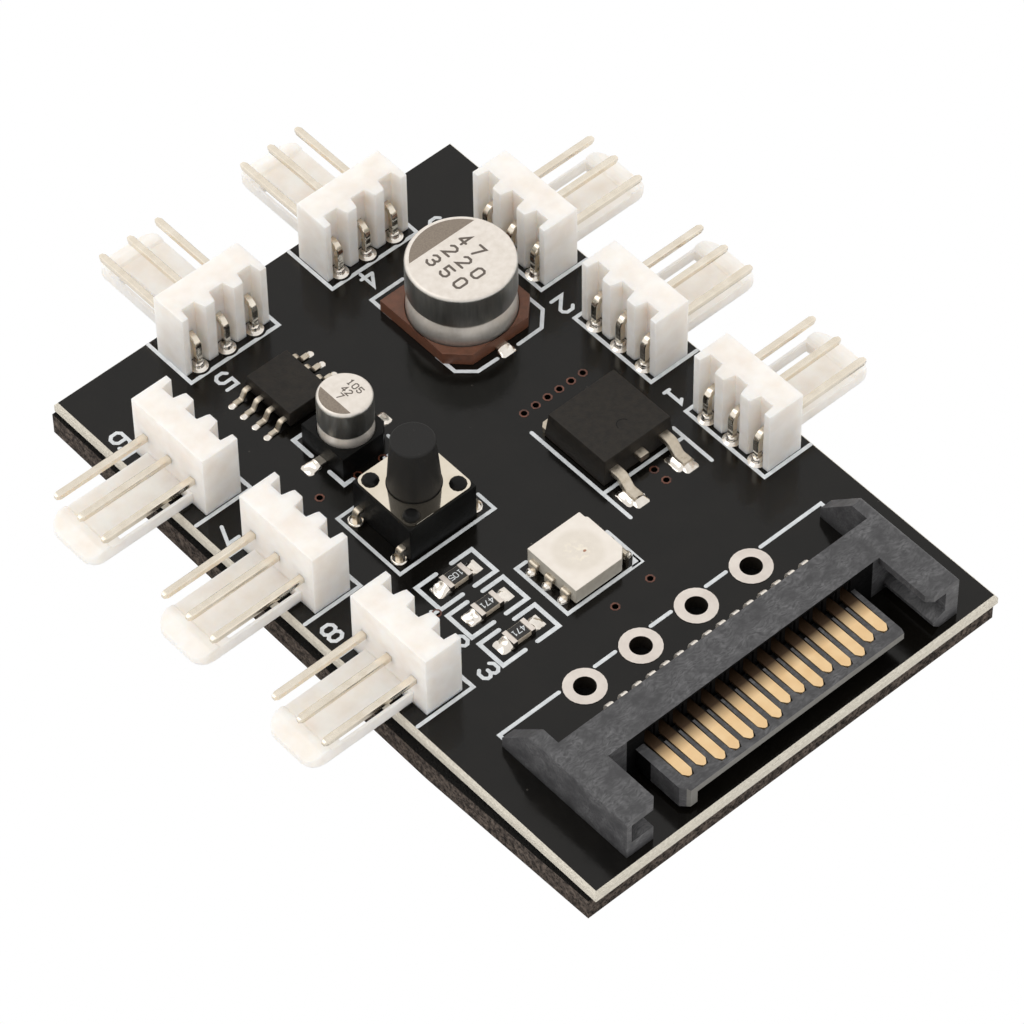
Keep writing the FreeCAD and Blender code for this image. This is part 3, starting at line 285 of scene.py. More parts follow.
def round_end(bm, high, low, outward, width, z0, z1):
    """Half disc that closes a ribbon, its first side on the left seen from outside."""
    middle = (high[0].co + high[1].co) / 2
    out = Vector((outward.x, outward.y, 0)).normalized() * width / 2 * MM
    side = high[0].co - middle
    tops = [high[0]]
    feet = [low[0]]
    for i in range(1, 5):
        angle = math.pi * i / 5
        step = side * math.cos(angle) + out * math.sin(angle)
        tops.append(bm.verts.new(middle + step))
        feet.append(bm.verts.new(middle + step - Vector((0, 0, (z1 - z0) * MM))))
    tops.append(high[1])
    feet.append(low[1])
    bm.faces.new(tops)
    bm.faces.new(feet[::-1])
    for i in range(5):
        bm.faces.new((tops[i], feet[i], feet[i + 1], tops[i + 1]))


# Strokes of each digit on a grid four wide and six high
DIGITS = {
    "0": [[(1, 0), (3, 0), (4, 1), (4, 5), (3, 6)], [(3, 6), (1, 6), (0, 5), (0, 1), (1, 0)]],
    "1": [[(0.8, 5), (2, 6), (2, 0)], [(1, 0), (3, 0)]],
    "2": [[(0, 5), (1, 6), (3, 6), (4, 5), (4, 4), (0, 0), (4, 0)]],
    "3": [[(0, 5), (1, 6), (3, 6), (4, 5), (4, 4), (3, 3), (4, 2), (4, 1), (3, 0), (1, 0), (0, 1)],
          [(1.6, 3), (3, 3)]],
    "4": [[(3, 0), (3, 6), (0.2, 2)], [(0.1, 1.8), (4.2, 1.8)]],
    "5": [[(4, 6), (0, 6), (0, 3.4), (3, 3.4), (4, 2.5), (4, 1), (3, 0), (1, 0), (0, 1)]],
    "6": [[(4, 5), (3, 6), (1, 6), (0, 5), (0, 1), (1, 0), (3, 0), (4, 1), (4, 2.4), (3, 3.4)],
          [(3, 3.4), (0.4, 3.4)]],
    "7": [[(0, 6), (4, 6), (1.4, 0)]],
    "8": [[(1, 3.1), (0, 4), (0, 5.1), (1, 6), (3, 6), (4, 5.1), (4, 4), (3, 3.1)], [(3, 3.1), (1, 3.1)],
          [(1, 3.1), (0, 2.2), (0, 1), (1, 0), (3, 0), (4, 1), (4, 2.2), (3, 3.1)]],
}


def number(bm, text, centre, height, turn, width, z0=0.0, z1=INK_Z, gap=1.5):
    """Plain digits drawn with one pen width, centred and turned about the upright."""
    unit = height / 6
    total = len(text) * 4 + (len(text) - 1) * gap
    spin = Matrix.Rotation(math.radians(turn), 2)
    for k, sign in enumerate(text):
        for order, line in enumerate(DIGITS[sign]):
            path = []
            for x, y in line:
                spot = Vector((x + k * (4 + gap) - total / 2, y - 3)) * unit
                path.append(Vector(centre) + spin @ spot)
            ribbon(bm, path, width, z0, z1 - 0.001 * order)


def plate(bm, outline, z0, z1):
    """Thin flat piece with the given plan outline."""
    foot = bm.faces.new([bm.verts.new(at(x, y, z0)) for x, y in outline])
    grown = bmesh.ops.extrude_face_region(bm, geom=[foot])["geom"]
    risen = [part for part in grown if isinstance(part, bmesh.types.BMVert)]
    bmesh.ops.translate(bm, vec=(0, 0, (z1 - z0) * MM), verts=risen)


def bitten_line(bm, start, end, width, spots, bite):
    """A straight ink line with a round bite taken out of it at each solder pad."""
    a = Vector(start)
    along = (Vector(end) - a).normalized()
    across = Vector((-along.y, along.x))
    length = (Vector(end) - a).length
    steps = int(length / 0.08)
    run = []
    for i in range(steps + 1):
        d = length * i / steps
        low, high = -width / 2, width / 2
        for spot in spots:
            offset = Vector(spot) - a
            from_middle = abs(offset.dot(along) - d)
            if from_middle < bite:
                half = math.sqrt(bite ** 2 - from_middle ** 2)
                centre = offset.dot(across)
                if centre > 0:
                    high = min(high, centre - half)
                else:
                    low = max(low, centre + half)
        if high - low > 0.03:
            run.append((a + along * d + across * low, a + along * d + across * high))
        if run and (high - low <= 0.03 or i == steps):
            if len(run) > 1:
                plate(bm, [p[0] for p in run] + [p[1] for p in run[::-1]], 0, INK_Z - 0.002)
            run = []


WHITE_INK = white_ink()
ink = bmesh.new()

# Three sided outline round each header; its long side is cut into by the solder pads
for y, foot_y in zip((17.88, 29.42, 40.91), HEADER_YS):
    pads = [(RIGHT_FOOT_X, foot_y + k * PIN_PITCH) for k in (-1, 0, 1)]
    for end, turn in ((y, 1), (y + OUTLINE_LENGTH, -1)):
        ribbon(ink, [(RIGHT_EDGE, end), (RIGHT_LINE_X, end), (RIGHT_LINE_X, end + turn * 0.6)],
               INK_WIDTH, 0, INK_Z)
    line_x = RIGHT_LINE_X + (BITTEN_WIDTH - INK_WIDTH) / 2
    bitten_line(ink, (line_x, y + 0.5), (line_x, y + OUTLINE_LENGTH - 0.5),
                BITTEN_WIDTH, pads, 0.68)
for y, foot_y in zip((17.78, 29.36, 40.86), HEADER_YS):
    pads = [(LEFT_FOOT_X, foot_y + k * PIN_PITCH) for k in (-1, 0, 1)]
    for end, turn in ((y, 1), (y + OUTLINE_LENGTH, -1)):
        ribbon(ink, [(LEFT_EDGE, end), (LEFT_LINE_X + 0.02, end), (LEFT_LINE_X + 0.02, end + turn * 0.6)],
               INK_WIDTH, 0, INK_Z)
    bitten_line(ink, (LEFT_LINE_X, y + 0.5), (LEFT_LINE_X, y + OUTLINE_LENGTH - 0.5),
                BITTEN_WIDTH, pads, 0.90)
for x, foot_x in ((20.99, BACK_XS[0]), (8.03, BACK_XS[1])):
    pads = [(foot_x + k * PIN_PITCH, BACK_FOOT_Y) for k in (-1, 0, 1)]
    for end, turn in ((x, 1), (x + OUTLINE_LENGTH, -1)):
        ribbon(ink, [(end, BACK_EDGE), (end, BACK_LINE_Y), (end + turn * 0.6, BACK_LINE_Y)],
               INK_WIDTH, 0, INK_Z)
    line_y = BACK_LINE_Y + (BITTEN_WIDTH - INK_WIDTH) / 2
    bitten_line(ink, (x + 0.5, line_y), (x + OUTLINE_LENGTH - 0.5, line_y),
                BITTEN_WIDTH, pads, 0.88)

# The line along the power inlet stops at each ringed wire hole
RING_XS = [10.607 + 5.08 * i for i in range(4)]
RING_GAP = 1.62
INLET_LINE_Y = 13.6
ribbon(ink, [(3.67, 13.1), (3.67, INLET_LINE_Y), (RING_XS[0] - RING_GAP, INLET_LINE_Y)], INK_WIDTH, 0, INK_Z)
for x, next_x in zip(RING_XS, RING_XS[1:]):
    ribbon(ink, [(x + RING_GAP, INLET_LINE_Y), (next_x - RING_GAP, INLET_LINE_Y)], INK_WIDTH, 0, INK_Z)
ribbon(ink, [(RING_XS[3] + RING_GAP, INLET_LINE_Y), (33.15, INLET_LINE_Y), (33.15, 13.1)],
       INK_WIDTH, 0, INK_Z)

# Brackets round the resistors, box round the button, lines by the transistor and the lamp
for y0, y1 in ((24.15, 26.67), (20.95, 23.45), (17.77, 20.22)):
    ribbon(ink, [(9.70, y0), (7.72, y0), (7.72, y1), (9.50, y1)], 0.33, 0, INK_Z)
    ribbon(ink, [(10.80, y0), (12.74, y0), (12.74, y1), (10.90, y1)], 0.33, 0, INK_Z)
ribbon(ink, [(10.2, 34.83), (7.69, 34.83), (7.69, 28.29), (16.26, 28.29), (16.26, 30.0)], 0.27, 0, INK_Z)
ribbon(ink, [(13.6, 36.74), (14.6, 36.74)], 0.27, 0, INK_Z)
ribbon(ink, [(9.98, 38.35), (9.98, 36.78), (10.75, 36.78)], 0.33, 0, INK_Z)
ribbon(ink, [(9.97, 40.25), (9.97, 42.18), (10.75, 42.18)], 0.33, 0, INK_Z)
ribbon(ink, [(15.1, 38.1), (15.1, 37.2)], 0.27, 0, INK_Z)
ribbon(ink, [(22.64, 31.61), (22.64, 21.44)], INK_WIDTH, 0, INK_Z)
ribbon(ink, [(30.22, 25.34), (30.22, 21.43)], INK_WIDTH, 0, INK_Z)
ribbon(ink, [(22.79, 24.25), (30.07, 24.25)], INK_WIDTH, 0, INK_Z - 0.002)
ribbon(ink, [(14.75, 23.36), (13.86, 23.36), (13.86, 18.13), (20.62, 18.13), (20.62, 21.6)],
       INK_WIDTH, 0, INK_Z)
plate(ink, [(19.75, 18.13), (20.62, 18.13), (20.62, 19.0)], 0, INK_Z)

# Cut cornered outline round the large capacitor, open at its two leads
ribbon(ink, [(27.33, 38.24), (29.55, 38.28), (30.75, 39.50), (30.72, 42.2)], INK_WIDTH, 0, INK_Z)
ribbon(ink, [(25.35, 38.24), (23.57, 38.28), (22.38, 39.36), (22.34, 41.2)], INK_WIDTH, 0, INK_Z)
ribbon(ink, [(25.30, 48.30), (22.38, 48.28), (22.36, 46.0)], INK_WIDTH, 0, INK_Z)
ribbon(ink, [(27.40, 48.30), (30.72, 48.28), (30.72, 46.4)], INK_WIDTH, 0, INK_Z)

# Plain numbers beside the headers and the small pieces
for digit, spot in (("1", (32.12, 27.35)), ("2", (32.12, 38.87)), ("3", (30.6, 50.4)), ("4", (23.6, 49.9)),
                    ("5", (9.94, 49.46)), ("6", (1.03, 50.2)), ("7", (1.2, 38.9)), ("8", (0.99, 27.59))):
    number(ink, digit, spot, 1.45, 180, 0.27)
for digit, spot in (("1", (6.69, 24.2)), ("2", (6.69, 21.2)), ("3", (6.69, 18.1))):
    number(ink, digit, spot, 1.35, -90, 0.27)
new_piece("board_legend", ink, WHITE_INK)

# Fan headers: moulded nylon with a comb shaped back and a lock plate in front.
# Their pins are square drawn wire, tinned, which turns down through the board behind.
HEADERS = ["fan_header_%d" % i for i in range(1, 9)]
PIN_Z = 2.75
PIN_SIZE = 0.52
PIN_BEND = 0.65
HEADER_DEPTH = 3.15
BOARD_BOTTOM = -1.2
FOOT_SETBACK = 0.20


def white_nylon():
    # Light sinks in, so the edges glow and the walls stay soft
    m, t, p, s = material("natural nylon")
    feed(t, s, Base_Color=mottle(t, p, 1.6, "#efe8e1", "#f9f5f1"),
         Roughness=grain(t, p, 0.5, 0.40, 0.52), Subsurface_Weight=0.9, Subsurface_Radius=(1.0, 0.9, 0.78),
         Subsurface_Scale=1.3 * MM, Normal=uneven(t, p, 0.2, 0.006, 0.5))
    return m


def soften(node, width_mm):
    """Rounds the sharp edges of a CAD piece."""
    o = NODES[node]
    weld = o.modifiers.new("weld", "WELD")
    weld.merge_threshold = 1e-6
    flat = o.modifiers.new("flat", "DECIMATE")
    flat.decimate_type = "DISSOLVE"
    flat.angle_limit = math.radians(2)
    bevel = o.modifiers.new("edge", "BEVEL")
    bevel.width = width_mm * MM
    bevel.segments = 2
    bevel.limit_method = "ANGLE"
    bevel.angle_limit = math.radians(35)
    shade = o.modifiers.new("shade", "WEIGHTED_NORMAL")
    shade.weight = 100


def pin_tin():
    # Bright tin with faint draw marks, which band the reflections of the upright legs
    m, t, p, s = material("bright tin on drawn wire")
    feed(t, s, Base_Color=mottle(t, p, 0.9, "#e4dac9", "#efe7d9"), Metallic=1.0,
         Roughness=grain(t, p, 0.6, 0.16, 0.24), Normal=uneven(t, p, 0.40, 0.05, 0.9, 0.0, (0.04, 0.04, 1)))
    return m


def strip(bm, origin, turn, across, path, width, thickness, radius, tip=0.0, steps=8, edge=0.04):
    """A bar that follows path, given as distance out and height, with rounded bends."""
    a = math.radians(turn)
    along = Vector((math.cos(a), math.sin(a), 0))
    side = Vector((-math.sin(a), math.cos(a), 0))
    points = [Vector(p) for p in path]
    line = [points[0]]
    for p, corner, q in zip(points, points[1:], points[2:]):
        d1 = (corner - p).normalized()
        d2 = (q - corner).normalized()
        angle = math.acos(max(-1.0, min(1.0, d1.dot(d2))))
        sign = 1 if d1.x * d2.y - d1.y * d2.x > 0 else -1
        inward = Vector((-d1.y, d1.x)) * sign
        start = corner - d1 * radius * math.tan(angle / 2)
        for i in range(steps + 1):
            spin = Matrix.Rotation(sign * angle * i / steps, 2)
            line.append(start + inward * radius - spin @ (inward * radius))
    last = points[-1]
    if tip:
        line.append(last + (line[-1] - last).normalized() * tip)
    line.append(last)
    rings = []
    for i, spot in enumerate(line):
        t = (line[min(i + 1, len(line) - 1)] - line[max(i - 1, 0)]).normalized()
        out = Vector((-t.y, t.x))
        scale = 0.6 if tip and i == len(line) - 1 else 1.0
        w = width / 2 * scale
        h = thickness / 2 * scale
        e = edge * scale
        ring = []
        for sw, sh in ((w - e, h), (w, h - e), (w, e - h), (w - e, -h),
                       (e - w, -h), (-w, e - h), (-w, h - e), (e - w, h)):
            flat = along * (spot.x + out.x * sh) + side * (across + sw) + Vector((0, 0, spot.y + out.y * sh))
            ring.append(bm.verts.new(at(origin[0] + flat.x, origin[1] + flat.y, flat.z)))
        rings.append(ring)
    for first, second in zip(rings, rings[1:]):
        for i in range(8):
            j = (i + 1) % 8
            bm.faces.new((first[i], second[i], second[j], first[j]))
    bm.faces.new(rings[0])
    bm.faces.new(rings[-1][::-1])


for header in HEADERS:
    soften(header + "_housing", 0.10)
dress(white_nylon(), *[header + "_housing" for header in HEADERS])
pins = bmesh.new()
rear_faces = [(32.33, y, 0, 7.20) for y in HEADER_YS] + [(x, 51.60, 90, 7.65) for x in BACK_XS]
rear_faces += [(4.33, y, 180, 7.92) for y in HEADER_YS]
for x, y, turn, pin_reach in rear_faces:
    for k in (-1, 0, 1):
        strip(pins, (x, y), turn, k * PIN_PITCH,
              [(FOOT_SETBACK, BOARD_BOTTOM), (FOOT_SETBACK, PIN_Z), (HEADER_DEPTH + pin_reach, PIN_Z)],
              PIN_SIZE, PIN_SIZE, PIN_BEND, tip=0.3, steps=12, edge=0.06)
pin_piece = new_piece("header_pins", pins, pin_tin())
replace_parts(pin_piece, *[header + "_pins" for header in HEADERS])

# Power inlet: one block of fibre filled nylon with two arms and a tongue, which carries
# fifteen blades, gold flashed where the plug rubs and tinned on their soldered tails.
CONTACT_PITCH = 1.27
CONTACT_COUNT = 15
FIRST_TAIL = (9.66, 9.55)


def dark_nylon():
    # Short fibres swirl below the skin and give it a mottled grey
    m, t, p, s = material("fibre filled dark nylon")
    swirl = add(t, "TexNoise", {"Vector": p, "Scale": 1 / (1.3 * MM), "Detail": 2.0})
    bent = add(t, "VectorMath", {0: p}, operation="ADD")
    offset = add(t, "VectorMath", {0: swirl.outputs["Color"], 1: [1.2 * MM] * 3}, operation="MULTIPLY")
    t.links.new(offset.outputs[0], bent.inputs[1])
    fibres = grain(t, bent.outputs[0], 0.16, 0, 1, 2.0, (0.35, 1, 1))
    clouds = grain(t, p, 1.1, 0, 1, 3.0)
    factor = add(t, "Math", {0: fibres, 1: clouds}, operation="MULTIPLY").outputs[0]
    # Painted shade: an occlusion mask darkens the grey to near black in crevices and corners
    crevice = add(t, "AmbientOcclusion", {"Distance": 1.2 * MM}, samples=6)
    depth = add(t, "MapRange", {"Value": crevice.outputs["AO"], "From Min": 0.35, "From Max": 0.75})
    grey = add(t, "Mix", {"Factor": factor, 6: srgb("#3f3f41"), 7: srgb("#6b6b6d")}, data_type="RGBA")
    tone = add(t, "Mix", {"Factor": depth.outputs[0], 6: srgb("#161617"), 7: grey.outputs[2]},
               data_type="RGBA").outputs[2]
    # Painted shade: the wall over the contacts is painted near black and loses its gloss. Painted highlight:
    # the tongue's front edge is painted pale
    spot = add(t, "SeparateXYZ", {0: p})
    facing = add(t, "SeparateXYZ", {0: add(t, "NewGeometry").outputs["True Normal"]})
    upright = add(t, "Math", {0: facing.outputs["Z"], 1: 0.4}, operation="LESS_THAN").outputs[0]
    painted_light_masks = []
    for low, high, shade, cover in ((3.9, 5.6, "#060606", 0.95), (-1.0, 0.8, "#86847d", 0.55)):
        inside = upright
        for axis, limit, test in (("X", at(7.6, 0).x, "GREATER_THAN"), ("X", at(30.0, 0).x, "LESS_THAN"),
                                  ("Y", at(0, low).y, "GREATER_THAN"), ("Y", at(0, high).y, "LESS_THAN")):
            passed = add(t, "Math", {0: spot.outputs[axis], 1: limit}, operation=test)
            inside = add(t, "Math", {0: inside, 1: passed.outputs[0]}, operation="MULTIPLY").outputs[0]
        painted_light_masks.append(inside)
        share = add(t, "Math", {0: inside, 1: cover}, operation="MULTIPLY").outputs[0]
        tone = add(t, "Mix", {"Factor": share, 6: tone, 7: srgb(shade)}, data_type="RGBA").outputs[2]
    gloss = add(t, "MapRange", {"Value": painted_light_masks[0], "To Min": 0.4, "To Max": 0.02}).outputs[0]
    ridges = add(t, "Bump", {"Height": fibres, "Distance": 0.012 * MM, "Strength": 0.6}).outputs[0]
    feed(t, s, Base_Color=tone, Roughness=grain(t, p, 0.4, 0.42, 0.58), Specular_IOR_Level=gloss,
         Normal=ridges)
    return m


def contact_gold():
    # Gold where the plug rubs, tin on the soldered tails behind; towards the body the gold is painted dark
    # brown, as painted shade under its wall
    m, t, p, s = material("gold flashed contact with tinned tail")
    gold = mottle(t, p, 1.2, "#ecc794", "#f6d6a6", 2.0)
    tin = mottle(t, p, 0.5, "#e6dfd5", "#f2ece4")
    depth = add(t, "SeparateXYZ", {0: p}).outputs["Y"]
    # Painted shade: the gold darkens to brown where the blades run in under the wall
    shade = add(t, "MapRange", {"Value": depth, "From Min": at(0, 3.2).y, "From Max": at(0, 4.6).y})
    gold = add(t, "Mix", {"Factor": shade.outputs[0], 6: gold, 7: srgb("#4a3828")},
               data_type="RGBA").outputs[2]
    behind = add(t, "Math", {0: depth, 1: at(0, 8.6).y}, operation="GREATER_THAN")
    tone = add(t, "Mix", {"Factor": behind.outputs[0], 6: gold, 7: tin}, data_type="RGBA").outputs[2]
    feed(t, s, Base_Color=tone, Metallic=0.7, Roughness=grain(t, p, 1.0, 0.30, 0.38),
         Normal=uneven(t, p, 0.6, 0.0008, 0.6))
    return m


soften("power_inlet_housing", 0.06)
dress(dark_nylon(), "power_inlet_housing")
dress(contact_gold(), "power_inlet_contacts")

# Two aluminium capacitors: drawn cans, crimped round a plug and seated in moulded bases
# with flat tinned leads. A printed segment on the top marks the negative lead.
LARGE_CAN = (26.30, 43.05)
SMALL_CAN = (12.52, 39.45)
LARGE_CAN_TOP = 5.95
SMALL_CAN_TOP = 5.40


def can_aluminium():
    # Fine upright draw marks on a grey wall; faces that point up are painted pale and nearly matt, as a
    # painted highlight on the top
    m, t, p, s = material("drawn aluminium with a bright top")
    drawn = (1, 1, 0.12)
    wall = mottle(t, p, 0.25, "#afb0ad", "#c0c0bc", 3.0, drawn)
    top = mottle(t, p, 0.5, "#e3dbd1", "#efe8e0")
    geometry = add(t, "NewGeometry")
    parts = add(t, "SeparateXYZ", {0: geometry.outputs["Normal"]})
    pale_highlight_share = add(t, "MapRange", {"Value": parts.outputs["Z"], "From Min": 0.3, "From Max": 0.9}).outputs[0]
    # Painted highlight: the rolled bulge below the neck is painted as pale as the top, and towards the foot
    # that pale fades, as painted shade
    height = add(t, "SeparateXYZ", {0: p}).outputs["Z"]
    bulge = add(t, "MapRange", {"Value": height, "From Min": at(0, 0, 2.68).z, "From Max": at(0, 0, 2.56).z,
                                "To Max": 0.8}).outputs[0]
    low = add(t, "MapRange", {"Value": height, "From Min": at(0, 0, 1.2).z, "From Max": at(0, 0, 2.3).z,
                              "To Min": 0.35}).outputs[0]
    bulge = add(t, "Math", {0: bulge, 1: low}, operation="MULTIPLY").outputs[0]
    pale_highlight_share = add(t, "Math", {0: pale_highlight_share, 1: bulge}, operation="MAXIMUM").outputs[0]
    colour = add(t, "Mix", {"Factor": pale_highlight_share, 6: wall, 7: top}, data_type="RGBA").outputs[2]
    metal = add(t, "MapRange", {"Value": pale_highlight_share, "To Min": 1.0, "To Max": 0.45}).outputs[0]
    feed(t, s, Base_Color=colour, Metallic=metal, Roughness=grain(t, p, 0.3, 0.34, 0.42, 3.0, drawn),
         Normal=uneven(t, p, 0.25, 0.006, 0.12, 3.0, drawn))
    return m


def plain_metal(name, first, second, rough, patch_mm, depth_mm):
    """Bare metal of one finish, whose tone, gloss and skin wander a little."""
    m, t, p, s = material(name)
    feed(t, s, Base_Color=mottle(t, p, patch_mm, first, second), Metallic=1.0,
         Roughness=grain(t, p, patch_mm, rough * 0.75, rough * 1.25),
         Normal=uneven(t, p, patch_mm * 0.5, depth_mm, 0.6))
    return m


def plain_plastic(name, first, second, rough, patch_mm=0.4, depth_mm=0.008, gloss=0.5):
    """Moulded or printed stuff of one finish, with the same slight wander."""
    m, t, p, s = material(name)
    feed(t, s, Base_Color=mottle(t, p, patch_mm, first, second),
         Roughness=grain(t, p, patch_mm, rough * 0.85, rough * 1.15), Specular_IOR_Level=gloss,
         Normal=uneven(t, p, patch_mm * 0.3, depth_mm, 0.7))
    return m


def lathe(bm, x, y, profile, steps=20, wobble=0.0, seed=0.0):
    """Turns a profile of radius and height round an upright axis, a little unevenly."""
    rings = []
    for r, z in profile:
        ring = []
        for i in range(steps):
            a = math.tau * i / steps
            bump = 1 + wobble * noise.noise(Vector((math.cos(a) * 1.3, math.sin(a) * 1.3, seed + z)))
            ring.append(bm.verts.new(at(x + r * bump * math.cos(a), y + r * bump * math.sin(a), z)))
        rings.append(ring)
    for low, high in zip(rings, rings[1:]):
        for i in range(steps):
            j = (i + 1) % steps
            bm.faces.new((low[i], low[j], high[j], high[i]))
    bm.faces.new(rings[0][::-1])
    bm.faces.new(rings[-1])


def can(bm, x, y, radius, low, high, start, neck, shoulder, dip):
    """Drawn can: a bulge above the foot, a crimped neck and a rounded top edge."""
    edge = 0.30
    profile = [(0.001, low), (radius - 0.3, low), (radius - 0.09, low + 0.09), (radius, low + 0.3)]
    for i in range(13):
        u = i / 12
        profile.append((radius - dip * (1 - math.cos(u * math.pi / 2)), start + (neck - start) * u))
    for i in range(1, 9):
        u = i / 8
        profile.append((radius - dip * (1 + math.cos(u * math.pi)) / 2, neck + (shoulder - neck) * u))
    for i in range(7):
        a = math.pi / 2 * i / 6
        profile.append((radius - edge + edge * math.cos(a), high - edge + edge * math.sin(a)))
    lathe(bm, x, y, profile + [(radius - edge - 0.1, high), (0.001, high)], 96)


def top_print(name, x, y, z, reach, line, numbers, height, pen, gap):
    """Segment on the far side of a chord. Line is that chord's distance and its bearing."""
    bm = bmesh.new()
    digits = bmesh.new()
    distance, bearing = line
    half = math.acos(distance / reach)
    arc = [math.radians(bearing) + half * (i / 12 - 1) for i in range(25)]
    plate(bm, [(x + reach * math.cos(a), y + reach * math.sin(a)) for a in arc], z, z + 0.006)
    for text, spot in numbers:
        number(digits, text, spot, height, -90, pen, z, z + 0.006, gap)
    new_piece(name, bm, SEGMENT_PRINT)
    new_piece(name + "_numbers", digits, NUMBER_PRINT)


# Phenolic is brown and fairly dull, thermoset nearly black, and the leads bright
BLACK_THERMOSET = plain_plastic("black thermoset", "#0a0a0a", "#121211", 0.45, gloss=0.16)
dress(plain_plastic("brown phenolic", "#63402f", "#744a37", 0.42), "large_capacitor_base")
dress(BLACK_THERMOSET, "small_capacitor_base")
dress(plain_metal("bright tin plate", "#e4dac9", "#efe7d9", 0.30, 0.9, 0.001),
      "large_capacitor_leads", "small_capacitor_leads")
soften("large_capacitor_base", 0.06)

ALUMINIUM = can_aluminium()
for name, shape in (("large_capacitor", (*LARGE_CAN, 4.0, 0.55, LARGE_CAN_TOP, 1.30, 2.62, 3.20, 0.44)),
                    ("small_capacitor", (*SMALL_CAN, 2.015, 0.60, SMALL_CAN_TOP, 2.0, 2.62, 2.98, 0.24))):
    shell = bmesh.new()
    can(shell, *shape)
    shell_piece = new_piece(name + "_shell", shell, ALUMINIUM, smooth=60)
    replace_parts(shell_piece, name + "_can")

# The segment is brown and the numbers darker, both flat and thin on the metal
SEGMENT_PRINT = plain_plastic("brown print on aluminium", "#7a6e62", "#8f8375", 0.5, 0.12, 0.004)
NUMBER_PRINT = plain_plastic("dark print on aluminium", "#544b43", "#6b6158", 0.5, 0.12, 0.004)
top_print("large_capacitor_print", *LARGE_CAN, LARGE_CAN_TOP, 3.62, (1.99, 90),
          (("47", (27.60, 43.40)), ("220", (26.22, 42.58)), ("350", (24.72, 42.72))), 0.95, 0.19, 5.0)
top_print("small_capacitor_print", *SMALL_CAN, SMALL_CAN_TOP, 1.80, (0.82, 180),
          (("105", (13.50, 39.45)), ("42", (12.80, 39.55)), ("7", (12.15, 39.5))), 0.48, 0.09, 2.2)

# Power transistor: black epoxy moulded round a tab and three leads, soldered down flat.
# The mould leaves a faint round mark on its top, and the tab is nearly hidden behind it.
TRANSISTOR = (26.40, 27.75)
TRANSISTOR_TOP = 2.30
MOULD_MARK = (26.58, 26.50)
MOULD_MARK_RADIUS = 0.48

# Epoxy is a fine grained dull black; worked tin is greyer than bright plate
EPOXY = plain_plastic("moulded epoxy", "#1e1b18", "#2b2722", 0.5, 0.5, 0.012, 0.24)
DULL_TIN = plain_metal("dull tin plate", "#bdb2a0", "#dcd2c2", 0.34, 0.5, 0.003)
soften("transistor_body", 0.07)
dress(EPOXY, "transistor_body")

mould_ring = bmesh.new()
arc = [math.radians(20 + 7 * i) for i in range(24)]
ribbon(mould_ring, [(MOULD_MARK[0] + MOULD_MARK_RADIUS * math.cos(a),
                     MOULD_MARK[1] + MOULD_MARK_RADIUS * math.sin(a)) for a in arc], 0.07,
       TRANSISTOR_TOP, TRANSISTOR_TOP + 0.004)
new_piece("transistor_mould_ring", mould_ring, BLACK_THERMOSET)

tab = bmesh.new()
plate(tab, [(23.27, 27.5), (29.53, 27.5), (29.53, 31.2), (29.2, 31.5), (23.6, 31.5), (23.27, 31.2)], 0, 0.5)
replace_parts(new_piece("transistor_tab_plate", tab, DULL_TIN), "transistor_tab")

# Control chip: an eight legged package of the same moulded epoxy. Its legs are bent down
# and outward, so that they stand flat on their pads.
CHIP = (12.33, 45.47)
CHIP_LEG_PITCH = 1.27
CHIP_LEG_ROWS = (-1.5, -0.5, 0.5, 1.5)
soften("control_chip_body", 0.05)
dress(EPOXY, "control_chip_body")

# Lamp: a white moulded frame with six flat legs and a round well, cast full of milky
# resin. Its dies lie under the resin, and one shows as a small warm spot.
LAMP = (17.25, 20.78)
LAMP_TOP = 1.55
LAMP_SPOT = (17.55, 20.50)
LAMP_LEG_ROWS = (-1.6, 0, 1.6)
lens_low, lens_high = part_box("lamp_lens")


def lamp_body():
    # Painted shade: the moulded walls are painted greyer than the top face
    m, t, p, s = material("white lamp resin")
    parts = add(t, "SeparateXYZ", {0: add(t, "NewGeometry").outputs["Normal"]})
    unshaded_upward = add(t, "MapRange", {"Value": parts.outputs["Z"], "From Min": 0.3, "From Max": 0.8}).outputs[0]
    top = mottle(t, p, 0.8, "#ece4da", "#f3ece3")
    wall = mottle(t, p, 0.5, "#b9b3a7", "#c9c4b8")
    tone = add(t, "Mix", {"Factor": unshaded_upward, 6: wall, 7: top}, data_type="RGBA").outputs[2]
    feed(t, s, Base_Color=tone, Roughness=0.42, Normal=uneven(t, p, 0.24, 0.004, 0.7))
    return m


def lamp_resin():
    # Cloudy and glossy, with a little light sinking in
    m, t, p, s = material("milky lamp resin")
    feed(t, s, Base_Color=mottle(t, p, 0.7, "#e6ddd0", "#efe7dc"),
         Roughness=0.22, Coat_Weight=0.4, Coat_Roughness=0.08, Subsurface_Weight=0.5,
         Subsurface_Radius=(1, 0.9, 0.8), Subsurface_Scale=0.4 * MM,
         Normal=uneven(t, p, 0.9, 0.02, 0.5))
    return m


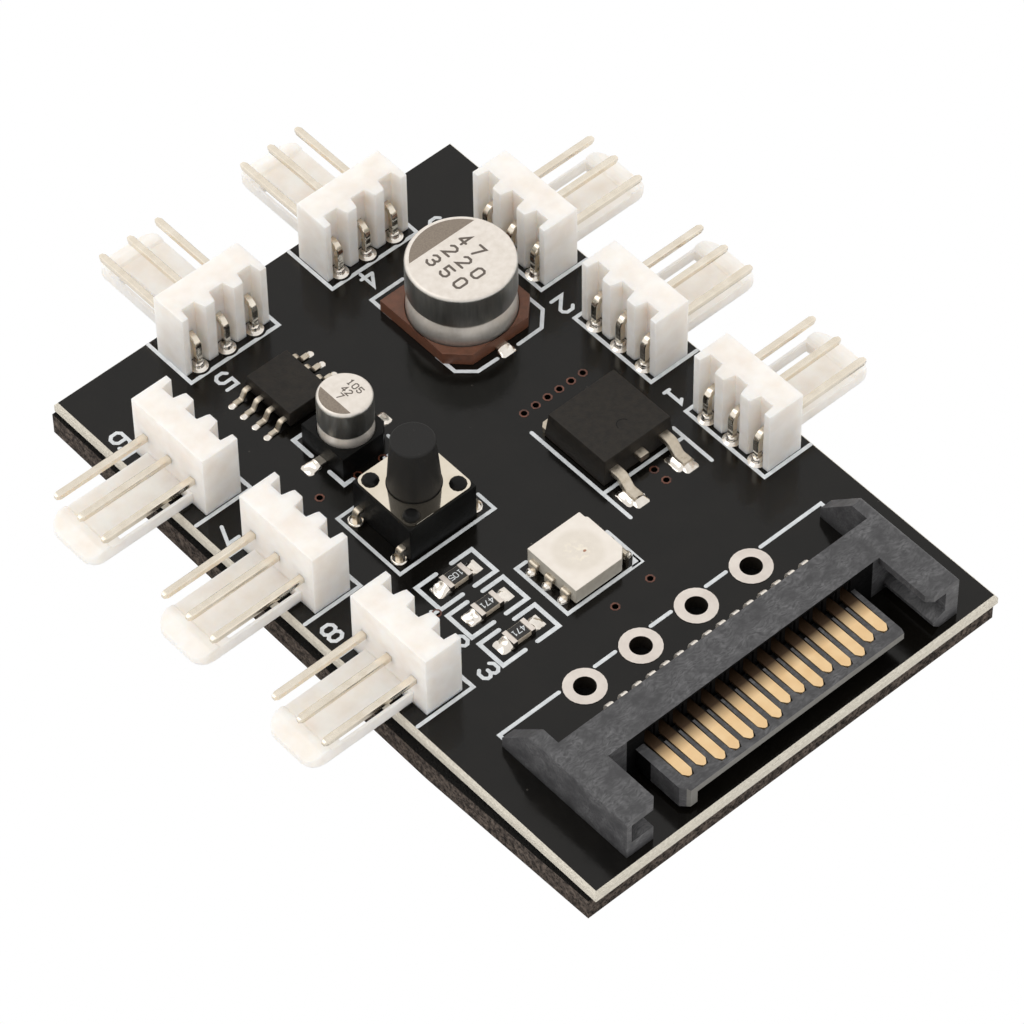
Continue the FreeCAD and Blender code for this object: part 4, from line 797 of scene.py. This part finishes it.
def lamp_face():
    # Milky resin that fades into the moulded face, with pale flecks near its middle
    m, t, p, s = material("lamp resin under a clear skin")
    middle = Vector(((lens_low.x + lens_high.x) / 2, (lens_low.y + lens_high.y) / 2, lens_high.z))
    reach = (lens_high.x - lens_low.x) / 2
    away = add(t, "VectorMath", {0: p, 1: middle}, operation="DISTANCE").outputs["Value"]
    edge = add(t, "MapRange", {"Value": away, "From Min": reach * 0.80, "From Max": reach * 1.02}).outputs[0]
    inner = add(t, "MapRange", {"Value": away, "From Min": reach * 0.65, "From Max": reach * 0.3}).outputs[0]
    fleck = add(t, "Math", {0: inner, 1: grain(t, p, 0.32, -1.0, 1.0)}, operation="MULTIPLY", use_clamp=True)
    cloudy = mottle(t, p, 0.7, "#e3dbcf", "#e9e1d6")
    resin = add(t, "Mix", {"Factor": fleck.outputs[0], 6: cloudy, 7: srgb("#f4ecdc")},
                data_type="RGBA").outputs[2]
    rim = mottle(t, p, 0.8, "#ece4da", "#f3ece3")
    tone = add(t, "Mix", {"Factor": edge, 6: resin, 7: rim}, data_type="RGBA").outputs[2]
    feed(t, s, Base_Color=tone, Roughness=0.40)
    return m


# A die is a small glassy chip of warm brown
DIE = plain_plastic("semiconductor die", "#8a5a48", "#b98a6c", 0.3, 0.1, 0.002)
soften("lamp_housing", 0.07)
dress(lamp_body(), "lamp_housing")
dress(lamp_resin(), "lamp_lens")
dress(DIE, "lamp_dies")

face = bmesh.new()
middle = (lens_low + lens_high) / 2 - CORNER
reach = (lens_high.x - lens_low.x) / 2 / MM + 0.07
turns = [math.tau * i / 64 for i in range(64)]
plate(face, [(middle.x / MM + reach * math.cos(a), middle.y / MM + reach * math.sin(a)) for a in turns],
      LAMP_TOP, LAMP_TOP + 0.002)
new_piece("lamp_face", face, lamp_face())
spot = bmesh.new()
turns = [math.tau * i / 12 for i in range(12)]
plate(spot, [(LAMP_SPOT[0] + 0.13 * math.cos(a), LAMP_SPOT[1] + 0.10 * math.sin(a)) for a in turns],
      LAMP_TOP, LAMP_TOP + 0.004)
new_piece("lamp_spot", spot, DIE)

# Three chip resistors: fired ceramic blocks with tinned end caps, glazed black on top.
# Each has a plain number printed white on the glaze.
RESISTOR_X = 10.21
RESISTOR_YS = (25.42, 22.20, 19.00)
RESISTOR_TOP = (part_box("resistor_1_body")[1].z - CORNER.z) / MM
GLAZE_HALF = (0.58, 0.55)
GLAZE_TOP = RESISTOR_TOP + 0.03

# Ceramic is pale and chalky, and the glaze over it a smooth near black
CERAMIC = plain_plastic("fired ceramic", "#a89c8b", "#c2b7a6", 0.5)
GLAZE = plain_plastic("black glaze on ceramic", "#1c1a18", "#282522", 0.3, 0.3, 0.004)
for resistor in ("resistor_1", "resistor_2", "resistor_3"):
    soften(resistor + "_body", 0.03)
    soften(resistor + "_caps", 0.05)
    dress(CERAMIC, resistor + "_body")
    dress(RING_TIN, resistor + "_caps")
glaze = bmesh.new()
glaze_print = bmesh.new()
for y, text in zip(RESISTOR_YS, ("105", "471", "471")):
    corners = [(RESISTOR_X + a * GLAZE_HALF[0], y + b * GLAZE_HALF[1])
               for a, b in ((-1, -1), (1, -1), (1, 1), (-1, 1))]
    plate(glaze, corners, RESISTOR_TOP, GLAZE_TOP)
    number(glaze_print, text, (RESISTOR_X, y), 0.42, 180, 0.06, GLAZE_TOP, GLAZE_TOP + 0.006)
new_piece("resistor_glaze", glaze, GLAZE)
new_piece("resistor_numbers", glaze_print, WHITE_INK)

# Push button: a black thermoset base with a polished steel cover pinned over it. The
# plunger is a separate matt moulding that travels, on a steel snap dome below it.
BUTTON = (11.95, 31.60)
BUTTON_LEG_REACH = 3.42
BUTTON_LEG_ROWS = (-2.25, 2.25)


def plunger_plastic():
    # Spark eroded finish, which scatters light, with a few pale specks
    m, t, p, s = material("fine matt black plastic")
    dots = add(t, "TexVoronoi", {"Vector": p, "Scale": 1 / (0.55 * MM)})
    lit = add(t, "MapRange", {"Value": dots.outputs["Distance"], "From Min": 0.10, "From Max": 0.05})
    few = add(t, "Math", {0: lit.outputs[0], 1: grain(t, p, 0.5, 0, 0.6)}, operation="MULTIPLY").outputs[0]
    tone = add(t, "Mix", {"Factor": few, 6: srgb("#151413"), 7: srgb("#4a4845")}, data_type="RGBA").outputs[2]
    feed(t, s, Base_Color=tone, Roughness=0.6, Specular_IOR_Level=0.35,
         Normal=uneven(t, p, 0.08, 0.01, 0.8))
    return m


# Plated steel mirrors the plunger, so its grain is kept very faint
STEEL = plain_metal("polished plated steel", "#e6dcc9", "#efe6d6", 0.06, 1.5, 0.001)
soften("push_button_base", 0.06)
dress(BLACK_THERMOSET, "push_button_base")
dress(STEEL, "push_button_cover", "push_button_dome")
dress(plunger_plastic(), "push_button_plunger")

# Leads of the chip, transistor, button and lamp: all are cut from tin plated strip and
# bent, so they are one piece. Each path runs out from a body and down to its pad.
leads = bmesh.new()
for turn in (0, 180):
    for k in CHIP_LEG_ROWS:
        strip(leads, CHIP, turn, k * CHIP_LEG_PITCH, [(1.90, 0.80), (2.36, 0.80), (2.70, 0.11), (3.35, 0.11)],
              0.46, 0.22, 0.26, edge=0.07)
TRANSISTOR_LEAD = [(2.90, 1.05), (3.83, 1.05), (4.59, 0.25), (5.56, 0.25)]
TRANSISTOR_STUB = [(2.90, 1.05), (3.66, 1.05)]
for across, path in ((-2.3, TRANSISTOR_LEAD), (2.3, TRANSISTOR_LEAD), (0, TRANSISTOR_STUB)):
    strip(leads, TRANSISTOR, -90, across, path, 0.80, 0.50, 0.38, edge=0.05)
for turn in (0, 180):
    for across in BUTTON_LEG_ROWS:
        strip(leads, BUTTON, turn, across,
              [(2.98, 0.95), (BUTTON_LEG_REACH, 0.95), (BUTTON_LEG_REACH, BOARD_BOTTOM)], 0.55, 0.30, 0.22)
for turn in (0, 180):
    for across in LAMP_LEG_ROWS:
        strip(leads, LAMP, turn, across, [(2.42, 0.83), (2.70, 0.83), (2.70, 0.0)],
              0.80, 0.26, 0.10, edge=0.04)
lead_piece = new_piece("small_leads", leads, DULL_TIN)
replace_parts(lead_piece, "control_chip_legs", "transistor_leads", "push_button_legs", "lamp_legs")

# Solder: a waisted cone round each header pin, a ring round each button leg, beads on the
# lamp and inlet, and lumpy fillets where paste has reflowed under the flat leads.
PIN_BEAD = [(0.70, 0.0), (0.70, 0.04), (0.62, 0.07), (0.50, 0.10), (0.42, 0.15), (0.405, 0.20),
            (0.425, 0.28), (0.42, 0.36), (0.38, 0.45), (0.32, 0.52), (0.28, 0.54)]
BUTTON_RING = [(0.58, 0.0), (0.61, 0.06), (0.57, 0.13), (0.50, 0.15), (0.44, 0.10), (0.41, -0.05),
               (0.38, -0.4), (0.2, -0.5)]
LAMP_BEAD = [(0.40, 0.0), (0.42, 0.10), (0.40, 0.20), (0.32, 0.30), (0.20, 0.37), (0.06, 0.40)]
TAIL_BEAD = [(0.52, 0.0), (0.50, 0.06), (0.34, 0.14), (0.30, 0.2)]
rng = random.Random(4)


def paste(bm, origin, angle, length, width, height, seed, rough=0.03, round_corner=0.25):
    """A lumpy fillet that climbs the end of a piece and runs out over its pad."""
    rows, cols, toe, film = 12, 12, 0.03, 0.012
    a = math.radians(angle)
    along = Vector((math.cos(a), math.sin(a)))
    across = Vector((-along.y, along.x))
    top = []
    foot = []
    for i in range(rows + 1):
        u = i / rows
        narrow = 1 - round_corner * max(0.0, (u - 0.7) / 0.3) ** 2
        top_row = []
        foot_row = []
        for j in range(cols + 1):
            v = 2 * j / cols - 1
            spot = Vector(origin) + along * u * length + across * v * width / 2 * narrow
            crown = max(0.0, 1 - abs(v) ** 3.5)
            rise = toe + (height - toe) * (1 - u) ** 1.5 * crown
            swing = rough * (1 if 0 < i < rows else 0.3)
            lump = noise.noise(Vector((spot.x * 1.8, spot.y * 1.8, seed))) * swing
            edge = 0 < j < cols and i < rows
            z = max(film, rise + lump) if edge else film
            top_row.append(bm.verts.new(at(spot.x, spot.y, z)))
            foot_row.append(bm.verts.new(at(spot.x, spot.y, 0)))
        top.append(top_row)
        foot.append(foot_row)
    for i in range(rows):
        for j in range(cols):
            bm.faces.new((top[i][j], top[i + 1][j], top[i + 1][j + 1], top[i][j + 1]))
            bm.faces.new((foot[i][j + 1], foot[i + 1][j + 1], foot[i + 1][j], foot[i][j]))
    for i in range(rows):
        bm.faces.new((top[i][0], foot[i][0], foot[i + 1][0], top[i + 1][0]))
        bm.faces.new((top[i + 1][cols], foot[i + 1][cols], foot[i][cols], top[i][cols]))
    for j in range(cols):
        bm.faces.new((top[0][j + 1], foot[0][j + 1], foot[0][j], top[0][j]))
        bm.faces.new((top[rows][j], foot[rows][j], foot[rows][j + 1], top[rows][j + 1]))


solder = bmesh.new()
feet = [(RIGHT_FOOT_X, y + k * PIN_PITCH) for y in HEADER_YS for k in (-1, 0, 1)]
feet += [(x + k * PIN_PITCH, BACK_FOOT_Y) for x in BACK_XS for k in (-1, 0, 1)]
feet += [(LEFT_FOOT_X, y + k * PIN_PITCH) for y in HEADER_YS for k in (-1, 0, 1)]
for x, y in feet:
    lathe(solder, x, y, PIN_BEAD, 28, 0.03, rng.random() * 9)
for x in (BUTTON[0] - BUTTON_LEG_REACH, BUTTON[0] + BUTTON_LEG_REACH):
    for row in BUTTON_LEG_ROWS:
        lathe(solder, x, BUTTON[1] + row, BUTTON_RING, 28, 0.05, rng.random() * 9)
for i in range(CONTACT_COUNT):
    lathe(solder, FIRST_TAIL[0] + CONTACT_PITCH * i, FIRST_TAIL[1], TAIL_BEAD, 16, 0.05, rng.random() * 9)
for x in (LAMP[0] - 2.86, LAMP[0] + 2.86):
    for row in LAMP_LEG_ROWS:
        lathe(solder, x, LAMP[1] + row, LAMP_BEAD, 20, 0.12, rng.random() * 9)
for y in RESISTOR_YS:
    paste(solder, (RESISTOR_X + 0.88, y), 0, 1.12, 1.15, 0.34, rng.random() * 9,
          rough=0.12, round_corner=0.05)
    paste(solder, (RESISTOR_X - 0.90, y), 180, 1.05, 1.30, 0.48, rng.random() * 9, rough=0.16)
for turn, x in ((0, CHIP[0] + 3.25), (180, CHIP[0] - 3.25)):
    for k in CHIP_LEG_ROWS:
        paste(solder, (x, CHIP[1] + k * CHIP_LEG_PITCH), turn, 0.58, 0.52, 0.14, rng.random() * 9,
              rough=0.02, round_corner=0.7)
paste(solder, (SMALL_CAN[0] + 2.8, SMALL_CAN[1]), 0, 0.95, 1.15, 0.42, rng.random() * 9, rough=0.10)
paste(solder, (SMALL_CAN[0] - 2.8, SMALL_CAN[1]), 180, 1.05, 1.15, 0.42, rng.random() * 9, rough=0.12)
for turn, y in ((90, LARGE_CAN[1] + 4.4), (-90, LARGE_CAN[1] - 4.4)):
    paste(solder, (LARGE_CAN[0], y), turn, 0.75, 1.25, 0.36, rng.random() * 9, rough=0.08)
for x in (TRANSISTOR[0] - 2.3, TRANSISTOR[0] + 2.3):
    paste(solder, (x, TRANSISTOR[1] - 5.35), -90, 0.80, 1.20, 0.34, rng.random() * 9, rough=0.07)
    paste(solder, (x + 0.36, TRANSISTOR[1] - 5.0), 0, 0.30, 1.10, 0.26, rng.random() * 9)
    paste(solder, (x - 0.36, TRANSISTOR[1] - 4.85), 180, 0.62, 1.60, 0.26, rng.random() * 9, rough=0.10)

# Solder sets with a bright, slightly rippled skin
SOLDER = plain_metal("bright solder", "#e6dfd5", "#f6f1ea", 0.14, 0.9, 0.006)
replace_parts(new_piece("solder", solder, SOLDER, smooth=50), "solder_joints")

# Studio: light falls from a pale surround that is a little brighter near the ground, and
# from one broad lamp above. The floor is plain white paint.
world = bpy.data.worlds.new("studio surround")
bpy.context.scene.world = world
world.use_nodes = True
wt = world.node_tree
wt.nodes.clear()
path = add(wt, "LightPath")
seen = add(wt, "Background", {"Color": (1, 1, 1, 1), "Strength": 1.0})
direction = add(wt, "TexCoord").outputs["Generated"]
height = add(wt, "SeparateXYZ", {0: direction}).outputs["Z"]
glow = add(wt, "MapRange", {"Value": height, "From Min": -0.1, "From Max": 0.9,
                            "To Min": 1.2, "To Max": 0.88})
tent = add(wt, "Background", {"Color": (1, 0.985, 0.965, 1), "Strength": glow.outputs[0]})
both = add(wt, "MixShader", {0: path.outputs["Is Camera Ray"], 1: tent.outputs[0], 2: seen.outputs[0]})
add(wt, "OutputWorld", {"Surface": both.outputs[0]})

floor_bm = bmesh.new()
bmesh.ops.create_grid(floor_bm, x_segments=1, y_segments=1, size=3.0)
floor_mesh = bpy.data.meshes.new("floor")
floor_bm.to_mesh(floor_mesh)
floor_bm.free()
floor = bpy.data.objects.new("floor", floor_mesh)
bpy.context.scene.collection.objects.link(floor)
floor_paint = bpy.data.materials.new("plain white floor")
floor_paint.use_nodes = True
ft = floor_paint.node_tree
ft.nodes.clear()
ray = add(ft, "LightPath")
matt = add(ft, "BsdfDiffuse", {"Color": (0.9, 0.9, 0.9, 1)})
white = add(ft, "Emission", {"Color": (1, 1, 1, 1), "Strength": 1.0})
blend = add(ft, "MixShader", {0: ray.outputs["Is Camera Ray"], 1: matt.outputs[0], 2: white.outputs[0]})
add(ft, "OutputMaterial", {"Surface": blend.outputs[0]})
floor_mesh.materials.append(floor_paint)

lamp_data = bpy.data.lights.new("broad lamp", "AREA")
lamp_data.shape = "DISK"
lamp_data.size = 0.5
lamp_data.energy = 0.58
lamp_data.color = (1.0, 0.985, 0.96)
lamp = bpy.data.objects.new("broad lamp", lamp_data)
bpy.context.scene.collection.objects.link(lamp)
lamp.location = (-0.25, 0.25, 0.55)
lamp.rotation_mode = "QUATERNION"
lamp.rotation_quaternion = lamp.location.to_track_quat("Z", "Y")

# Camera: a long lens, placed at the photograph's angle and distance. Angles are in
# degrees, the aim point and the distance in metres.
AZIMUTH, ELEVATION, ROLL = (math.radians(angle) for angle in (-40.945, 51.184, -0.945))
AIM = Vector((-0.001221, -0.000640, 0.00315))
DISTANCE = 0.38698
back = Vector((math.sin(AZIMUTH) * math.cos(ELEVATION), -math.cos(AZIMUTH) * math.cos(ELEVATION),
               math.sin(ELEVATION)))
side = Vector((math.cos(AZIMUTH), math.sin(AZIMUTH), 0))
up = back.cross(side)
right = side * math.cos(ROLL) + up * math.sin(ROLL)
top = up * math.cos(ROLL) - side * math.sin(ROLL)
camera_data = bpy.data.cameras.new("camera")
camera_data.lens = 198.5
camera_data.sensor_width = 36
camera_data.clip_start = 0.01
camera_data.clip_end = 10
camera = bpy.data.objects.new("camera", camera_data)
bpy.context.scene.collection.objects.link(camera)
camera.matrix_world = Matrix((right, top, back)).transposed().to_4x4()
camera.location = AIM + back * DISTANCE
bpy.context.scene.camera = camera
bpy.context.scene.view_settings.view_transform = "Standard"
